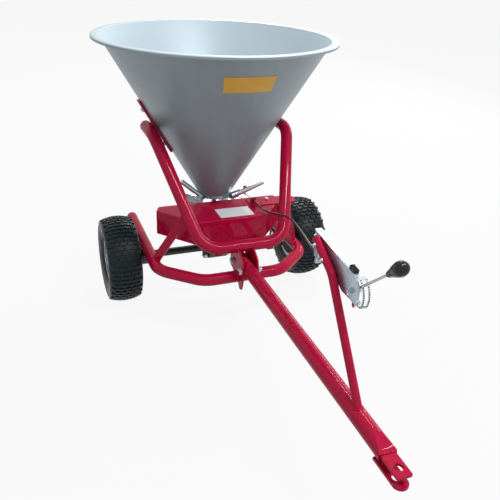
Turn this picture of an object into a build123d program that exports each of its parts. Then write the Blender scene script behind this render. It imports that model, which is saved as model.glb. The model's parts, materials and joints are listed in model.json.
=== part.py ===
from build123d import *
import os
from math import acos, asin, atan2, cos, degrees, radians, sin, sqrt, tan

os.makedirs("parts", exist_ok=True)

# Tow-behind garden spreader, in millimetres. Z is up, the hitch points to -Y, the ground is Z = 0.

# Clearances
SEAT = 0.3  # between pieces that are bolted or welded together
RUN = 0.05  # radial, round a shaft that turns in its bore
PASS = 0.6  # between plates that slide over one another
BOLT_PLAY = 0.4  # radial, round a bolt in its hole

# Overall sizes
HITCH_REACH = 1378.0  # axle to the front end of the hitch
TRACK = 757.5  # between the middles of the tyres
HOPPER_TOP_Z = 988.5
CONE_TOP_R = 404.0
LIP_WIDTH = 25.0

# Wheels, 13 x 5.00 - 6
TYRE_OD = 330.0
TYRE_WIDTH = 125.0
TYRE_WALL = 8.0
BEAD_OD = 152.0
RIM_WIDTH = 89.0
RIM_FLANGE_OD = 175.0
RIM_WALL = 3.0
HUB_LENGTH = 90.0
HUB_WALL = 5.0
BUSH_WALL = 4.0

# Axle and its bearings
AXLE_OD = 30.0
BEARING_OD = 56.0
BEARING_WIDTH = 32.0
HOUSING_WALL = 8.0
HOUSING_BASE = 14.0
HOUSING_LENGTH = 140.0
HOUSING_BOLTS = 110.0  # between the two bolts of a housing
BEARING_BOLT = 10.0
SPACER_WALL = 6.0
END_BOLT = 10.0
END_WASHER_OD = 46.0
END_WASHER = 3.0
DRIVE_PIN = 8.0

# Frame tubes
TUBE_OD = 42.4
TUBE_WALL = 2.5
FRONT_REACH = 354.5  # axle to both front bars
LOWER_Z = 221.0
LOWER_FRONT_HALF = 145.6
LOWER_SIDE_HALF = 281.3
LOWER_CORNER_REACH = 234.3
LOWER_REAR = 248.5
LOWER_BEND = 95.0
HOOP_Z = 340.2
HOOP_HALF = 148.6
HOOP_TOP_Z = 668.0
HOOP_TOP_REACH = 94.0
HOOP_STUB = 42.0  # the hoop's ends, behind the axle
HOOP_BEND = 85.0
PLUG_LENGTH = 18.0
PLUG_HEAD = 3.0
BRACE_WIDTH = 30.0
BRACE_THICK = 8.0
BRACE_TOP_SHARE = 0.319  # height of the brace on the upright
BRACE_FOOT_REACH = 172.0

# Drawbar and hitch
DRAWBAR_OD = 48.0
DRAWBAR_WALL = 3.0
DRAWBAR_Z = 270.6
DRAWBAR_REAR_REACH = 300.0
DRAWBAR_BOLT_REACHES = (324.0, 411.0)
DRAWBAR_BOLT = 12.0
EAR_THICK = 6.0
HITCH_THICK = 8.0
HITCH_UPPER_Z = 272.0  # middle of the upper plate
HITCH_UPPER_SHORT = 7.0  # the upper plate ends this much sooner
HITCH_PIN_SETBACK = 35.0
HITCH_HOLE = 22.0
HITCH_TAIL = 85.0  # upper plate's length inside the tube
HITCH_LOWER_TAIL = 26.0  # lower plate's length welded under the tube
PRESS_LENGTH = 75.0  # the tube's end, pressed down onto the upper plate
TUBE_END_SETBACK = 78.0

# Hopper
CONE_BOTTOM_Z = 408.5
CONE_BOTTOM_R = 63.0
HOPPER_WALL = 2.0
HEM = 10.0
SIDE_PLATE_WIDTH = 50.0
SIDE_PLATE_THICK = 8.0
SIDE_PLATE_TOP_Z = 774.0
SIDE_PLATE_BOTTOM_Z = 585.0
SIDE_PLATE_BOLT_INSET = 36.0
HOPPER_BOLT = 8.0

# Feed plates under the hopper
BASE_THICK = 4.0
FEED_THICK = 3.0
FEED_SLOTS = 3
FEED_SLOT_ANGLE = 18.0
FEED_SLOT_SPACING = 40.0
FEED_SLOT_INNER_R = 27.0
FEED_SLOT_OUTER_R = 55.0
SHUTTER_TRAVEL = 20.0  # degrees, from shut to open
FEED_PLATE_R = 66.0
FEED_BUSH_WALL = 5.0
FEED_BUSH_FLANGE_R = 26.0
FEED_TAB_WIDTH = 34.0
FEED_TAB_REACH = 100.0
SHUTTER_ROD = 26.0  # at its root
SHUTTER_ROD_END = 17.0  # at its tip
SHUTTER_ROD_ROOT = (44.0, 74.0, 410.0)  # sideways, ahead of the axle, height
SHUTTER_ROD_TIP = (190.0, 32.0, 437.0)
SHUTTER_PIN = 8.0
SHUTTER_PIN_SHARE = 0.44  # along the rod
SHUTTER_PIN_Z = 403.0
DIRECTION_ROD = 18.0
DIRECTION_ROD_ROOT = (-66.0, 44.0, 409.0)
DIRECTION_ROD_TIP = (-140.0, 36.0, 472.0)
DIRECTION_FOOT = 18.0

# Spinner drive
SHAFT_OD = 20.0
SPIGOT_OD = 9.0
GEAR_MODULE = 2.5
CROWN_TEETH = 30
PINION_TEETH = 10
FACE_WIDTH = 12.0
ADDENDUM = 1.5
DEDENDUM = 2.3
TOOTH_WIDTH = 2.8  # at the pitch line
FLANK_ANGLE = 22.0
GEAR_RIM = 0.8  # the blanks stand this far past the teeth at both ends
CROWN_BACK = 9.0
CROWN_HUB_OD = 48.0
CROWN_HUB_LENGTH = 16.0
PINION_HUB_LENGTH = 8.0
BOX_WALL = 5.0
BOX_GAP = 3.0
BOX_BOSS_LENGTH = 10.0
BOX_BOSS_OD = 50.0
BOX_NECK_OD = 46.0
BOX_NECK_Z = 250.0
BOX_FLANGE = 7.0
BOX_BOLT = 8.0
BOX_BOLT_RISE = 37.0  # bolts above and below the axle
BOX_BOLT_INSET = 11.0
DISC_R = 145.0
DISC_Z = 338.0
DISC_THICK = 2.5
DISC_HUB_OD = 44.0
DISC_HUB_LENGTH = 18.0
DISC_DISH = 10.0
VANE_COUNT = 4
VANE_HEIGHT = 28.0
VANE_FOOT = 12.0
VANE_THICK = 2.0
VANE_START = 46.0
AGITATOR_OD = 8.0
AGITATOR_SPAN = 92.0
AGITATOR_Z = 430.0
SHAFT_TOP_Z = 442.0

# Guard in front of the spinner
GUARD_TOP_Z = 383.0
GUARD_DROP = 90.0
GUARD_SHEET = 2.5
GUARD_REAR_REACH = 46.0
GUARD_SIDE_REACH = 82.0
GUARD_FRONT_REACH = 220.0
GUARD_FRONT_HALF = 132.0
GUARD_SIDE_HALF = 252.0
GUARD_REAR_TAPER = 16.0  # each side, from the widest place to the rear edge
GUARD_BEND = 14.0
GUARD_FRONT_BEND = 28.0
STAY_HALF = 96.0
STAY_WIDTH = 25.0
STAY_THICK = 4.0
STAY_RISE = 32.0  # welded inside the skirt, above its lower edge

# Control mast and its bracket
MAST_OD = 22.0
MAST_WALL = 2.0
MAST_FOOT_REACH = 1158.0
MAST_BEND_REACH = 963.0
MAST_BEND_Z = 558.0
MAST_TOP_REACH = 863.0
MAST_TOP_Z = 609.0
MAST_BEND_R = 70.0
MAST_BOLT_REACHES = (926.0, 882.0)
BRACKET_SHEET = 3.0
BRACKET_FLANGE = 16.0
BRACKET_BOLT = 6.0
FLANGE_REAR_REACH = 832.0
FLANGE_REAR_Z = 621.0
FLANGE_FRONT_REACH = 1056.0
FLANGE_FRONT_Z = 596.0
LUG_DROP = 25.0  # pivot to the lug's underside
LUG_LENGTH = 26.0
LUG_SETBACK = 14.0  # pivot to the lug's rear edge

# Control lever and scale
PIVOT_REACH = 1042.0
PIVOT_Z = 552.0
PIVOT_BOLT = 8.0
BAND_R = 50.0
BAND_SHEET = 2.0
BAND_WIDTH = 20.0
BAND_TAB = 12.0
BAND_SLOT = 10.0
BAND_SLOT_MARGIN = 5.0  # degrees of band left at each end of the slot
LEVER_ANGLE = 42.0  # above the level, at rest
LEVER_HUB_OD = 24.0
LEVER_HUB_OUT = 6.0
LEVER_ROD = 7.0
KNOB_START = 158.0
KNOB_LENGTH = 72.0
KNOB_OD = 36.0
CRANK = 44.0
CRANK_WIDTH = 12.0
CRANK_THICK = 4.0
CRANK_PIN = 6.0
CRANK_PIN_LENGTH = 8.0
STOP_SIZE = (26.0, 13.0, 9.0)

# Cable
SHEATH_OD = 6.5
WIRE_OD = 2.5
SHEATH_LEAD = 20.0  # straight out of the ferrule
FERRULE_OD = 9.0
FERRULE_LENGTH = 16.0
CABLE_STOP_X = 118.0
CABLE_STOP_REACH = 120.0
CABLE_STOP_Z = 404.0
STOP_SHEET = 3.0
STOP_WIDTH = 22.0
STOP_BOLT = 8.0
STOP_BOLT_X = 188.0
STOP_BOLT_REACH = 87.0
STOP_RIGHT_X = 300.0  # the plate's end, past the guard's side
STOP_REAR_REACH = 67.0
STOP_FRONT_REACH = 134.0
STOP_CORNER = 24.0
CLAMP_REACH = 845.0
CLAMP_SHEET = 4.0
CLAMP_WIDTH = 24.0
CLAMP_BLOCK = 8.0
CLAMP_BOLT_DROP = 13.0  # below the flange's rear end
ADJUSTER_X = 28.0
ADJUSTER_Z = 536.0
ADJUSTER_FALL = 8.0  # degrees
ADJUSTER_OD = 8.0
ADJUSTER_LENGTH = 44.0
ADJUSTER_NUT = 13.0
ADJUSTER_NUT_WIDTH = 6.0

# Places that follow from the sizes above
RIM_RADIUS = CONE_TOP_R + LIP_WIDTH
AXLE_Y = (HITCH_REACH - RIM_RADIUS) / 2
AXLE_Z = TYRE_OD / 2
AXLE_LINE = Axis((0, AXLE_Y, AXLE_Z), (1, 0, 0))
SPIN_LINE = Axis((0, AXLE_Y, 0), (0, 0, 1))
CONE_SLOPE = (CONE_TOP_R - CONE_BOTTOM_R) / (HOPPER_TOP_Z - CONE_BOTTOM_Z)
CONE_ANGLE = atan2(CONE_SLOPE, 1)
UPRIGHT_PLANE = Plane((0, AXLE_Y, 0), x_dir=(1, 0, 0), z_dir=(0, -1, 0))


def ahead(reach):
    """The Y of a point this far in front of the axle."""
    return AXLE_Y - reach


def cone_radius(z):
    """The hopper's outer radius at a height."""
    return CONE_BOTTOM_R + (z - CONE_BOTTOM_Z) * CONE_SLOPE


def keep(piece, name):
    """Label a finished piece and write its file."""
    piece.part.label = name
    export_step(piece.part, f"parts/{name}.step")


def hex_bolt(seat, size, grip, nut=True):
    """A hexagon bolt whose head stands on the seat plane, with or without a nut behind the grip."""
    with BuildPart() as bolt:
        with BuildSketch(seat.offset(SEAT)):
            RegularPolygon(size * 0.85, 6, major_radius=False)
        extrude(amount=size * 0.65)
        with BuildSketch(seat.offset(SEAT)):
            Circle(size / 2)
        extrude(amount=-grip - (size * 1.3 if nut else 0))
        if nut:
            with BuildSketch(seat.offset(-grip - SEAT)):
                RegularPolygon(size * 0.85, 6, major_radius=False)
            extrude(amount=-size * 0.8)
    return bolt.part


def tube_plug(end):
    """A domed plastic plug in a tube's open end, with the end's plane facing out."""
    with BuildPart() as plug:
        with BuildSketch(end.offset(SEAT)):
            Circle(TUBE_OD / 2)
        extrude(amount=PLUG_HEAD, taper=30)
        with BuildSketch(end.offset(SEAT)):
            Circle(TUBE_OD / 2 - TUBE_WALL - SEAT)
        extrude(amount=-PLUG_LENGTH)
    return plug.part


# Lower frame: one bent tube, open at the rear, with weld bushes inside it for the bearing bolts
lower_points = (
    (-LOWER_SIDE_HALF, AXLE_Y + LOWER_REAR, LOWER_Z),
    (-LOWER_SIDE_HALF, ahead(LOWER_CORNER_REACH), LOWER_Z),
    (-LOWER_FRONT_HALF, ahead(FRONT_REACH), LOWER_Z),
    (LOWER_FRONT_HALF, ahead(FRONT_REACH), LOWER_Z),
    (LOWER_SIDE_HALF, ahead(LOWER_CORNER_REACH), LOWER_Z),
    (LOWER_SIDE_HALF, AXLE_Y + LOWER_REAR, LOWER_Z),
)
with BuildLine() as lower_path:
    FilletPolyline(*lower_points, radius=LOWER_BEND)
bearing_bolt_spots = [
    (side * LOWER_SIDE_HALF, AXLE_Y + end * HOUSING_BOLTS / 2)
    for side in (-1, 1)
    for end in (-1, 1)
]
lower_start = Plane(lower_points[0], z_dir=lower_path.line % 0)
with BuildPart() as bolt_bushes:
    for side in (-1, 1):
        with BuildSketch(Plane((side * LOWER_SIDE_HALF, AXLE_Y, LOWER_Z), z_dir=(0, 1, 0))):
            Circle(TUBE_OD / 2 - TUBE_WALL / 2)
        extrude(amount=HOUSING_LENGTH / 2, both=True)
    with BuildSketch(Plane.XY.offset(LOWER_Z)):
        with Locations(*bearing_bolt_spots):
            Circle(BEARING_BOLT)
    extrude(amount=-TUBE_OD / 2, mode=Mode.INTERSECT)
with BuildPart() as lower_frame:
    with BuildSketch(lower_start):
        Circle(TUBE_OD / 2)
        Circle(TUBE_OD / 2 - TUBE_WALL, mode=Mode.SUBTRACT)
    sweep(path=lower_path.wire())
    add(bolt_bushes.part)
    with BuildSketch(Plane.XY.offset(LOWER_Z)):
        with Locations(*bearing_bolt_spots):
            Circle(BEARING_BOLT / 2 + BOLT_PLAY)
    extrude(amount=-TUBE_OD, mode=Mode.SUBTRACT)
keep(lower_frame, "lower_frame")

# Hoop: one bent tube that leans back, its two ends beside the hopper
HOOP_TOP_HALF = cone_radius(HOOP_TOP_Z) + (
    2 * SEAT + SIDE_PLATE_THICK + TUBE_OD / 2
) / cos(CONE_ANGLE)
hoop_points = (
    (-HOOP_TOP_HALF, AXLE_Y + HOOP_STUB, HOOP_TOP_Z),
    (-HOOP_TOP_HALF, ahead(HOOP_TOP_REACH), HOOP_TOP_Z),
    (-HOOP_HALF, ahead(FRONT_REACH), HOOP_Z),
    (HOOP_HALF, ahead(FRONT_REACH), HOOP_Z),
    (HOOP_TOP_HALF, ahead(HOOP_TOP_REACH), HOOP_TOP_Z),
    (HOOP_TOP_HALF, AXLE_Y + HOOP_STUB, HOOP_TOP_Z),
)
with BuildLine() as hoop_path:
    FilletPolyline(*hoop_points, radius=HOOP_BEND)
hoop_start = Plane(hoop_points[0], z_dir=hoop_path.line % 0)
with BuildPart() as frame_hoop:
    with BuildSketch(hoop_start):
        Circle(TUBE_OD / 2)
        Circle(TUBE_OD / 2 - TUBE_WALL, mode=Mode.SUBTRACT)
    sweep(path=hoop_path.wire())
keep(frame_hoop, "frame_hoop")

# Plugs in the four open tube ends, all facing the rear
with BuildPart() as tube_plugs:
    for point in (lower_points[0], lower_points[-1], hoop_points[0], hoop_points[-1]):
        add(tube_plug(Plane(point, x_dir=(1, 0, 0), z_dir=(0, 1, 0))))
keep(tube_plugs, "tube_plugs")

# Room that the two bent tubes need, for the pieces that are coped to them
with BuildPart() as lower_room:
    with BuildSketch(lower_start):
        Circle(TUBE_OD / 2 + SEAT)
    sweep(path=lower_path.wire())
with BuildPart() as hoop_room:
    with BuildSketch(hoop_start):
        Circle(TUBE_OD / 2 + SEAT)
    sweep(path=hoop_path.wire())

# Braces: flat bars from the uprights down to the lower frame, coped to both tubes
for side, name in ((-1, "brace_left"), (1, "brace_right")):
    brace_top = Vector(
        side * (HOOP_HALF + BRACE_TOP_SHARE * (HOOP_TOP_HALF - HOOP_HALF)),
        ahead(FRONT_REACH + BRACE_TOP_SHARE * (HOOP_TOP_REACH - FRONT_REACH)),
        HOOP_Z + BRACE_TOP_SHARE * (HOOP_TOP_Z - HOOP_Z),
    )
    brace_foot = Vector(side * LOWER_SIDE_HALF, ahead(BRACE_FOOT_REACH), LOWER_Z)
    brace_run = brace_foot - brace_top
    with BuildPart() as brace:
        with BuildSketch(Plane(brace_top, x_dir=(1, side, 0), z_dir=brace_run)):
            Rectangle(BRACE_WIDTH, BRACE_THICK)
        extrude(amount=brace_run.length)
        add(hoop_room.part, mode=Mode.SUBTRACT)
        add(lower_room.part, mode=Mode.SUBTRACT)
    keep(brace, name)

# Ear plates: the drawbar is bolted between them, and they join the two front bars
EAR_INNER = DRAWBAR_OD / 2 + SEAT
ear_outline = (
    (ahead(297), DRAWBAR_Z + 28),
    (ahead(338), HOOP_Z - 8),
    (ahead(372), HOOP_Z - 4),
    (ahead(416), DRAWBAR_Z + 40),
    (ahead(432), DRAWBAR_Z - 14),
    (ahead(412), LOWER_Z - 26),
    (ahead(394), LOWER_Z - 22),
    (ahead(370), LOWER_Z + 12),
    (ahead(338), LOWER_Z + 14),
    (ahead(297), DRAWBAR_Z - 26),
)
for side, name in ((-1, "ear_plate_left"), (1, "ear_plate_right")):
    ear_face = Plane.YZ.offset(EAR_INNER if side > 0 else -EAR_INNER - EAR_THICK)
    with BuildPart() as ear_plate:
        with BuildSketch(ear_face):
            with BuildLine():
                FilletPolyline(*ear_outline, radius=7, close=True)
            make_face()
            with Locations((ahead(FRONT_REACH), HOOP_Z), (ahead(FRONT_REACH), LOWER_Z)):
                Circle(TUBE_OD / 2 + SEAT, mode=Mode.SUBTRACT)
            with Locations(*((ahead(reach), DRAWBAR_Z) for reach in DRAWBAR_BOLT_REACHES)):
                Circle(DRAWBAR_BOLT / 2 + BOLT_PLAY, mode=Mode.SUBTRACT)
        extrude(amount=EAR_THICK)
    keep(ear_plate, name)

# Drawbar: straight tube, cross-drilled for its two bolts, its front end pressed down to a slope
TUBE_END_REACH = HITCH_REACH - TUBE_END_SETBACK
press_rear = Vector(0, ahead(TUBE_END_REACH - PRESS_LENGTH), DRAWBAR_Z + DRAWBAR_OD / 2)
press_front = Vector(0, ahead(TUBE_END_REACH), HITCH_UPPER_Z + HITCH_THICK / 2 + SEAT + DRAWBAR_WALL)
press_plane = Plane(press_rear, x_dir=(1, 0, 0), z_dir=(press_front - press_rear).cross(Vector(1, 0, 0)))
drawbar_start = Plane((0, ahead(DRAWBAR_REAR_REACH), DRAWBAR_Z), z_dir=(0, -1, 0))
with BuildPart() as drawbar_bore:
    with BuildSketch(drawbar_start):
        Circle(DRAWBAR_OD / 2 - DRAWBAR_WALL)
    extrude(amount=TUBE_END_REACH - DRAWBAR_REAR_REACH)
    split(bisect_by=press_plane.offset(-DRAWBAR_WALL), keep=Keep.BOTTOM)
with BuildPart() as drawbar_tube:
    with BuildSketch(drawbar_start):
        Circle(DRAWBAR_OD / 2)
    extrude(amount=TUBE_END_REACH - DRAWBAR_REAR_REACH)
    split(bisect_by=press_plane, keep=Keep.BOTTOM)
    add(drawbar_bore.part, mode=Mode.SUBTRACT)
    with BuildSketch(Plane.YZ):
        with Locations(*((ahead(reach), DRAWBAR_Z) for reach in DRAWBAR_BOLT_REACHES)):
            Circle(DRAWBAR_BOLT / 2 + BOLT_PLAY)
    extrude(amount=DRAWBAR_OD, both=True, mode=Mode.SUBTRACT)
keep(drawbar_tube, "drawbar_tube")

# Drawbar bolts, with their heads on the left
drawbar_bolt_parts = [
    hex_bolt(
        Plane((-EAR_INNER - EAR_THICK, ahead(reach), DRAWBAR_Z), z_dir=(-1, 0, 0)),
        DRAWBAR_BOLT,
        2 * (EAR_INNER + EAR_THICK),
    )
    for reach in DRAWBAR_BOLT_REACHES
]
with BuildPart() as drawbar_bolts:
    add(drawbar_bolt_parts)
keep(drawbar_bolts, "drawbar_bolts")

# Hitch: an upper plate inside the tube and a longer round-ended lower plate under it
UPPER_RISE = abs(HITCH_UPPER_Z - DRAWBAR_Z) + HITCH_THICK / 2
HITCH_WIDTH = 2 * sqrt((DRAWBAR_OD / 2 - DRAWBAR_WALL - SEAT) ** 2 - UPPER_RISE**2)
HITCH_LOWER_Z = DRAWBAR_Z - DRAWBAR_OD / 2 - SEAT - HITCH_THICK
PIN_Y = ahead(HITCH_REACH - HITCH_PIN_SETBACK)
UPPER_FRONT_Y = ahead(HITCH_REACH - HITCH_UPPER_SHORT)
PLATE_REAR_Y = ahead(TUBE_END_REACH - HITCH_TAIL)
with BuildPart() as hitch_upper:
    with BuildSketch(Plane.XY.offset(HITCH_UPPER_Z - HITCH_THICK / 2)):
        with Locations((0, (UPPER_FRONT_Y + PLATE_REAR_Y) / 2)):
            RectangleRounded(HITCH_WIDTH, PLATE_REAR_Y - UPPER_FRONT_Y, 3)
        with Locations((0, PIN_Y)):
            Circle(HITCH_HOLE / 2, mode=Mode.SUBTRACT)
    extrude(amount=HITCH_THICK)
keep(hitch_upper, "hitch_upper")

with BuildPart() as hitch_lower:
    with BuildSketch(Plane.XY.offset(HITCH_LOWER_Z)):
        with BuildLine():
            round_y = ahead(HITCH_REACH) + HITCH_WIDTH / 2
            lower_rear_y = ahead(TUBE_END_REACH - HITCH_LOWER_TAIL)
            Line((HITCH_WIDTH / 2, round_y), (HITCH_WIDTH / 2, lower_rear_y))
            Line((HITCH_WIDTH / 2, lower_rear_y), (-HITCH_WIDTH / 2, lower_rear_y))
            Line((-HITCH_WIDTH / 2, lower_rear_y), (-HITCH_WIDTH / 2, round_y))
            ThreePointArc((-HITCH_WIDTH / 2, round_y), (0, ahead(HITCH_REACH)), (HITCH_WIDTH / 2, round_y))
        make_face()
        with Locations((0, PIN_Y)):
            Circle(HITCH_HOLE / 2, mode=Mode.SUBTRACT)
    extrude(amount=HITCH_THICK)
keep(hitch_lower, "hitch_lower")

# Hopper: spun cone with a flat lip and a turned-down hem, drilled for the side plates' bolts
plate_mid_z = (SIDE_PLATE_TOP_Z + SIDE_PLATE_BOTTOM_Z) / 2
plate_length = (SIDE_PLATE_TOP_Z - SIDE_PLATE_BOTTOM_Z) / cos(CONE_ANGLE)
plate_bolt_half = plate_length / 2 - SIDE_PLATE_BOLT_INSET
with BuildPart() as hopper:
    with BuildSketch(UPRIGHT_PLANE):
        inset = HOPPER_WALL / cos(CONE_ANGLE)
        with BuildLine():
            Polyline(
                (CONE_BOTTOM_R, CONE_BOTTOM_Z),
                (cone_radius(HOPPER_TOP_Z - HOPPER_WALL), HOPPER_TOP_Z - HOPPER_WALL),
                (RIM_RADIUS - HOPPER_WALL, HOPPER_TOP_Z - HOPPER_WALL),
                (RIM_RADIUS - HOPPER_WALL, HOPPER_TOP_Z - HEM),
                (RIM_RADIUS, HOPPER_TOP_Z - HEM),
                (RIM_RADIUS, HOPPER_TOP_Z),
                (cone_radius(HOPPER_TOP_Z) - inset, HOPPER_TOP_Z),
                (CONE_BOTTOM_R - inset, CONE_BOTTOM_Z),
                close=True,
            )
        make_face()
    revolve(axis=SPIN_LINE)
    for side in (-1, 1):
        for end in (-1, 1):
            bolt_z = plate_mid_z + end * plate_bolt_half * cos(CONE_ANGLE)
            bolt_face = Plane(
                (side * cone_radius(bolt_z), AXLE_Y, bolt_z),
                z_dir=(side * cos(CONE_ANGLE), 0, -sin(CONE_ANGLE)),
            )
            with BuildSketch(bolt_face):
                Circle(HOPPER_BOLT / 2 + BOLT_PLAY)
            extrude(amount=4 * HOPPER_WALL, both=True, mode=Mode.SUBTRACT)
keep(hopper, "hopper")

# Side plates: flat strips along the cone, welded to the hoop's ends and bolted to the hopper
hopper_bolt_parts = []
for side, name in ((-1, "hopper_side_plate_left"), (1, "hopper_side_plate_right")):
    plate_face = Plane(
        (side * cone_radius(plate_mid_z), AXLE_Y, plate_mid_z),
        x_dir=(0, side, 0),
        z_dir=(side * cos(CONE_ANGLE), 0, -sin(CONE_ANGLE)),
    ).offset(SEAT)
    with BuildPart() as side_plate:
        with BuildSketch(plate_face):
            RectangleRounded(SIDE_PLATE_WIDTH, plate_length, 8)
            with GridLocations(1, 2 * plate_bolt_half, 1, 2):
                Circle(HOPPER_BOLT / 2 + BOLT_PLAY, mode=Mode.SUBTRACT)
        extrude(amount=SIDE_PLATE_THICK)
    keep(side_plate, name)
    for end in (-1, 1):
        bolt_seat = plate_face.offset(SIDE_PLATE_THICK) * Pos(0, end * plate_bolt_half, 0)
        hopper_bolt_parts.append(
            hex_bolt(Plane(bolt_seat), HOPPER_BOLT, SIDE_PLATE_THICK + SEAT + HOPPER_WALL + 2 * SEAT)
        )
with BuildPart() as hopper_bolts:
    add(hopper_bolt_parts)
keep(hopper_bolts, "hopper_bolts")

# Feed plates, from the top: the hopper's base, the shutter and the direction plate
BASE_Z = CONE_BOTTOM_Z - SEAT - BASE_THICK
SHUTTER_Z = BASE_Z - PASS - FEED_THICK
DIRECTION_Z = SHUTTER_Z - PASS - FEED_THICK
BUSH_R = SHAFT_OD / 2 + RUN + FEED_BUSH_WALL
feed_angles = [-90 + FEED_SLOT_SPACING * (i - (FEED_SLOTS - 1) / 2) for i in range(FEED_SLOTS)]


def feed_slot(middle, spread):
    """A sector-shaped opening, by the angle of its middle and its spread in degrees."""
    inner = [Vector(FEED_SLOT_INNER_R, 0).rotate(Axis.Z, middle + spread * i) for i in (-0.5, 0, 0.5)]
    outer = [Vector(FEED_SLOT_OUTER_R, 0).rotate(Axis.Z, middle + spread * i) for i in (-0.5, 0, 0.5)]
    with BuildSketch() as slot:
        with BuildLine():
            ThreePointArc(*inner)
            Line(inner[2], outer[2])
            ThreePointArc(*outer)
            Line(outer[0], inner[0])
        make_face()
    return slot.sketch


# Base plate: closes the cone, with its feed slots towards the front
with BuildPart() as hopper_base:
    with BuildSketch(Plane((0, AXLE_Y, BASE_Z))):
        Circle(CONE_BOTTOM_R)
        Circle(BUSH_R + RUN, mode=Mode.SUBTRACT)
        for angle in feed_angles:
            add(feed_slot(angle, FEED_SLOT_ANGLE), mode=Mode.SUBTRACT)
    extrude(amount=BASE_THICK)
keep(hopper_base, "hopper_base")

# Bush: guides the spinner shaft, and its flange carries the two feed plates
with BuildPart() as feed_bush:
    with BuildSketch(Plane((0, AXLE_Y, DIRECTION_Z - PASS - BASE_THICK))):
        Circle(FEED_BUSH_FLANGE_R)
        Circle(SHAFT_OD / 2 + RUN, mode=Mode.SUBTRACT)
    extrude(amount=BASE_THICK)
    with BuildSketch(Plane((0, AXLE_Y, DIRECTION_Z - PASS))):
        Circle(BUSH_R)
        Circle(SHAFT_OD / 2 + RUN, mode=Mode.SUBTRACT)
    extrude(amount=CONE_BOTTOM_Z - DIRECTION_Z + PASS + BASE_THICK)
keep(feed_bush, "feed_bush")


# Shutter: turns on the bush, shut at rest, with a tab for its lever
shutter_root = Vector(SHUTTER_ROD_ROOT[0], ahead(SHUTTER_ROD_ROOT[1]), SHUTTER_ROD_ROOT[2])
shutter_tip = Vector(SHUTTER_ROD_TIP[0], ahead(SHUTTER_ROD_TIP[1]), SHUTTER_ROD_TIP[2])
shutter_run = (shutter_tip - shutter_root).normalized()
shutter_foot = shutter_root + shutter_run * SHUTTER_ROD / 2
SHUTTER_TAB_ANGLE = degrees(atan2(shutter_foot.Y - AXLE_Y, shutter_foot.X))
with BuildPart() as shutter_plate:
    with BuildSketch(Plane((0, AXLE_Y, SHUTTER_Z))):
        Circle(FEED_PLATE_R)
        with PolarLocations(FEED_TAB_REACH / 2, 1, start_angle=SHUTTER_TAB_ANGLE):
            Rectangle(FEED_TAB_REACH, FEED_TAB_WIDTH)
        Circle(BUSH_R + RUN, mode=Mode.SUBTRACT)
        for angle in feed_angles:
            add(feed_slot(angle - SHUTTER_TRAVEL, FEED_SLOT_ANGLE), mode=Mode.SUBTRACT)
    extrude(amount=FEED_THICK)
keep(shutter_plate, "shutter_plate")

# Direction plate: turns on the bush too, and its wide opening shifts where the feed drops
direction_root = Vector(DIRECTION_ROD_ROOT[0], ahead(DIRECTION_ROD_ROOT[1]), DIRECTION_ROD_ROOT[2])
direction_tip = Vector(DIRECTION_ROD_TIP[0], ahead(DIRECTION_ROD_TIP[1]), DIRECTION_ROD_TIP[2])
direction_run = direction_tip - direction_root
direction_foot = direction_root + direction_run.normalized() * DIRECTION_ROD / 2
DIRECTION_TAB_ANGLE = degrees(atan2(direction_foot.Y - AXLE_Y, direction_foot.X))
with BuildPart() as direction_plate:
    with BuildSketch(Plane((0, AXLE_Y, DIRECTION_Z))):
        Circle(FEED_PLATE_R)
        with PolarLocations(FEED_TAB_REACH / 2, 1, start_angle=DIRECTION_TAB_ANGLE):
            Rectangle(FEED_TAB_REACH, FEED_TAB_WIDTH)
        Circle(BUSH_R + RUN, mode=Mode.SUBTRACT)
        add(feed_slot(-90, FEED_SLOTS * FEED_SLOT_SPACING), mode=Mode.SUBTRACT)
    extrude(amount=FEED_THICK)
keep(direction_plate, "direction_plate")

# Shutter lever: a tapered round bar, filed flat for the plate's tab, with a pin that holds the wire
shutter_foot_z = SHUTTER_Z + FEED_THICK + SEAT
shutter_length = (shutter_tip - shutter_root).length
shutter_pin_top = shutter_root + shutter_run * shutter_length * SHUTTER_PIN_SHARE
shutter_taper = degrees(atan2((SHUTTER_ROD - SHUTTER_ROD_END) / 2, shutter_length))
with BuildPart() as shutter_lever:
    with BuildSketch(Plane(shutter_root, z_dir=shutter_run)):
        Circle(SHUTTER_ROD / 2)
    extrude(amount=shutter_length, taper=shutter_taper)
    with BuildSketch(Plane((shutter_root.X, shutter_root.Y, shutter_foot_z))):
        Rectangle(8 * SHUTTER_ROD, 8 * SHUTTER_ROD)
    extrude(amount=-SHUTTER_ROD, mode=Mode.SUBTRACT)
    with BuildSketch(Plane((shutter_pin_top.X, shutter_pin_top.Y, SHUTTER_PIN_Z))):
        Circle(SHUTTER_PIN / 2)
    extrude(amount=shutter_pin_top.Z - SHUTTER_PIN_Z)
    with BuildSketch(Plane(shutter_pin_top)):
        RegularPolygon(SHUTTER_PIN * 0.85, 6, major_radius=False)
    extrude(amount=SHUTTER_ROD / 2 + SHUTTER_PIN * 0.65)
keep(shutter_lever, "shutter_lever")

# Direction lever: a round bar that rises from a square foot on the direction plate's tab
direction_foot_z = DIRECTION_Z + FEED_THICK + SEAT
with BuildPart() as direction_lever:
    with BuildSketch(Plane(direction_root, z_dir=direction_run)):
        Circle(DIRECTION_ROD / 2)
    extrude(amount=direction_run.length)
    foot_out = Vector(direction_run.X, direction_run.Y, 0).normalized() * DIRECTION_FOOT / 2
    with BuildSketch(Plane((direction_root.X + foot_out.X, direction_root.Y + foot_out.Y, direction_foot_z))):
        Rectangle(DIRECTION_FOOT, DIRECTION_FOOT)
    extrude(amount=direction_root.Z - direction_foot_z)
keep(direction_lever, "direction_lever")

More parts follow.
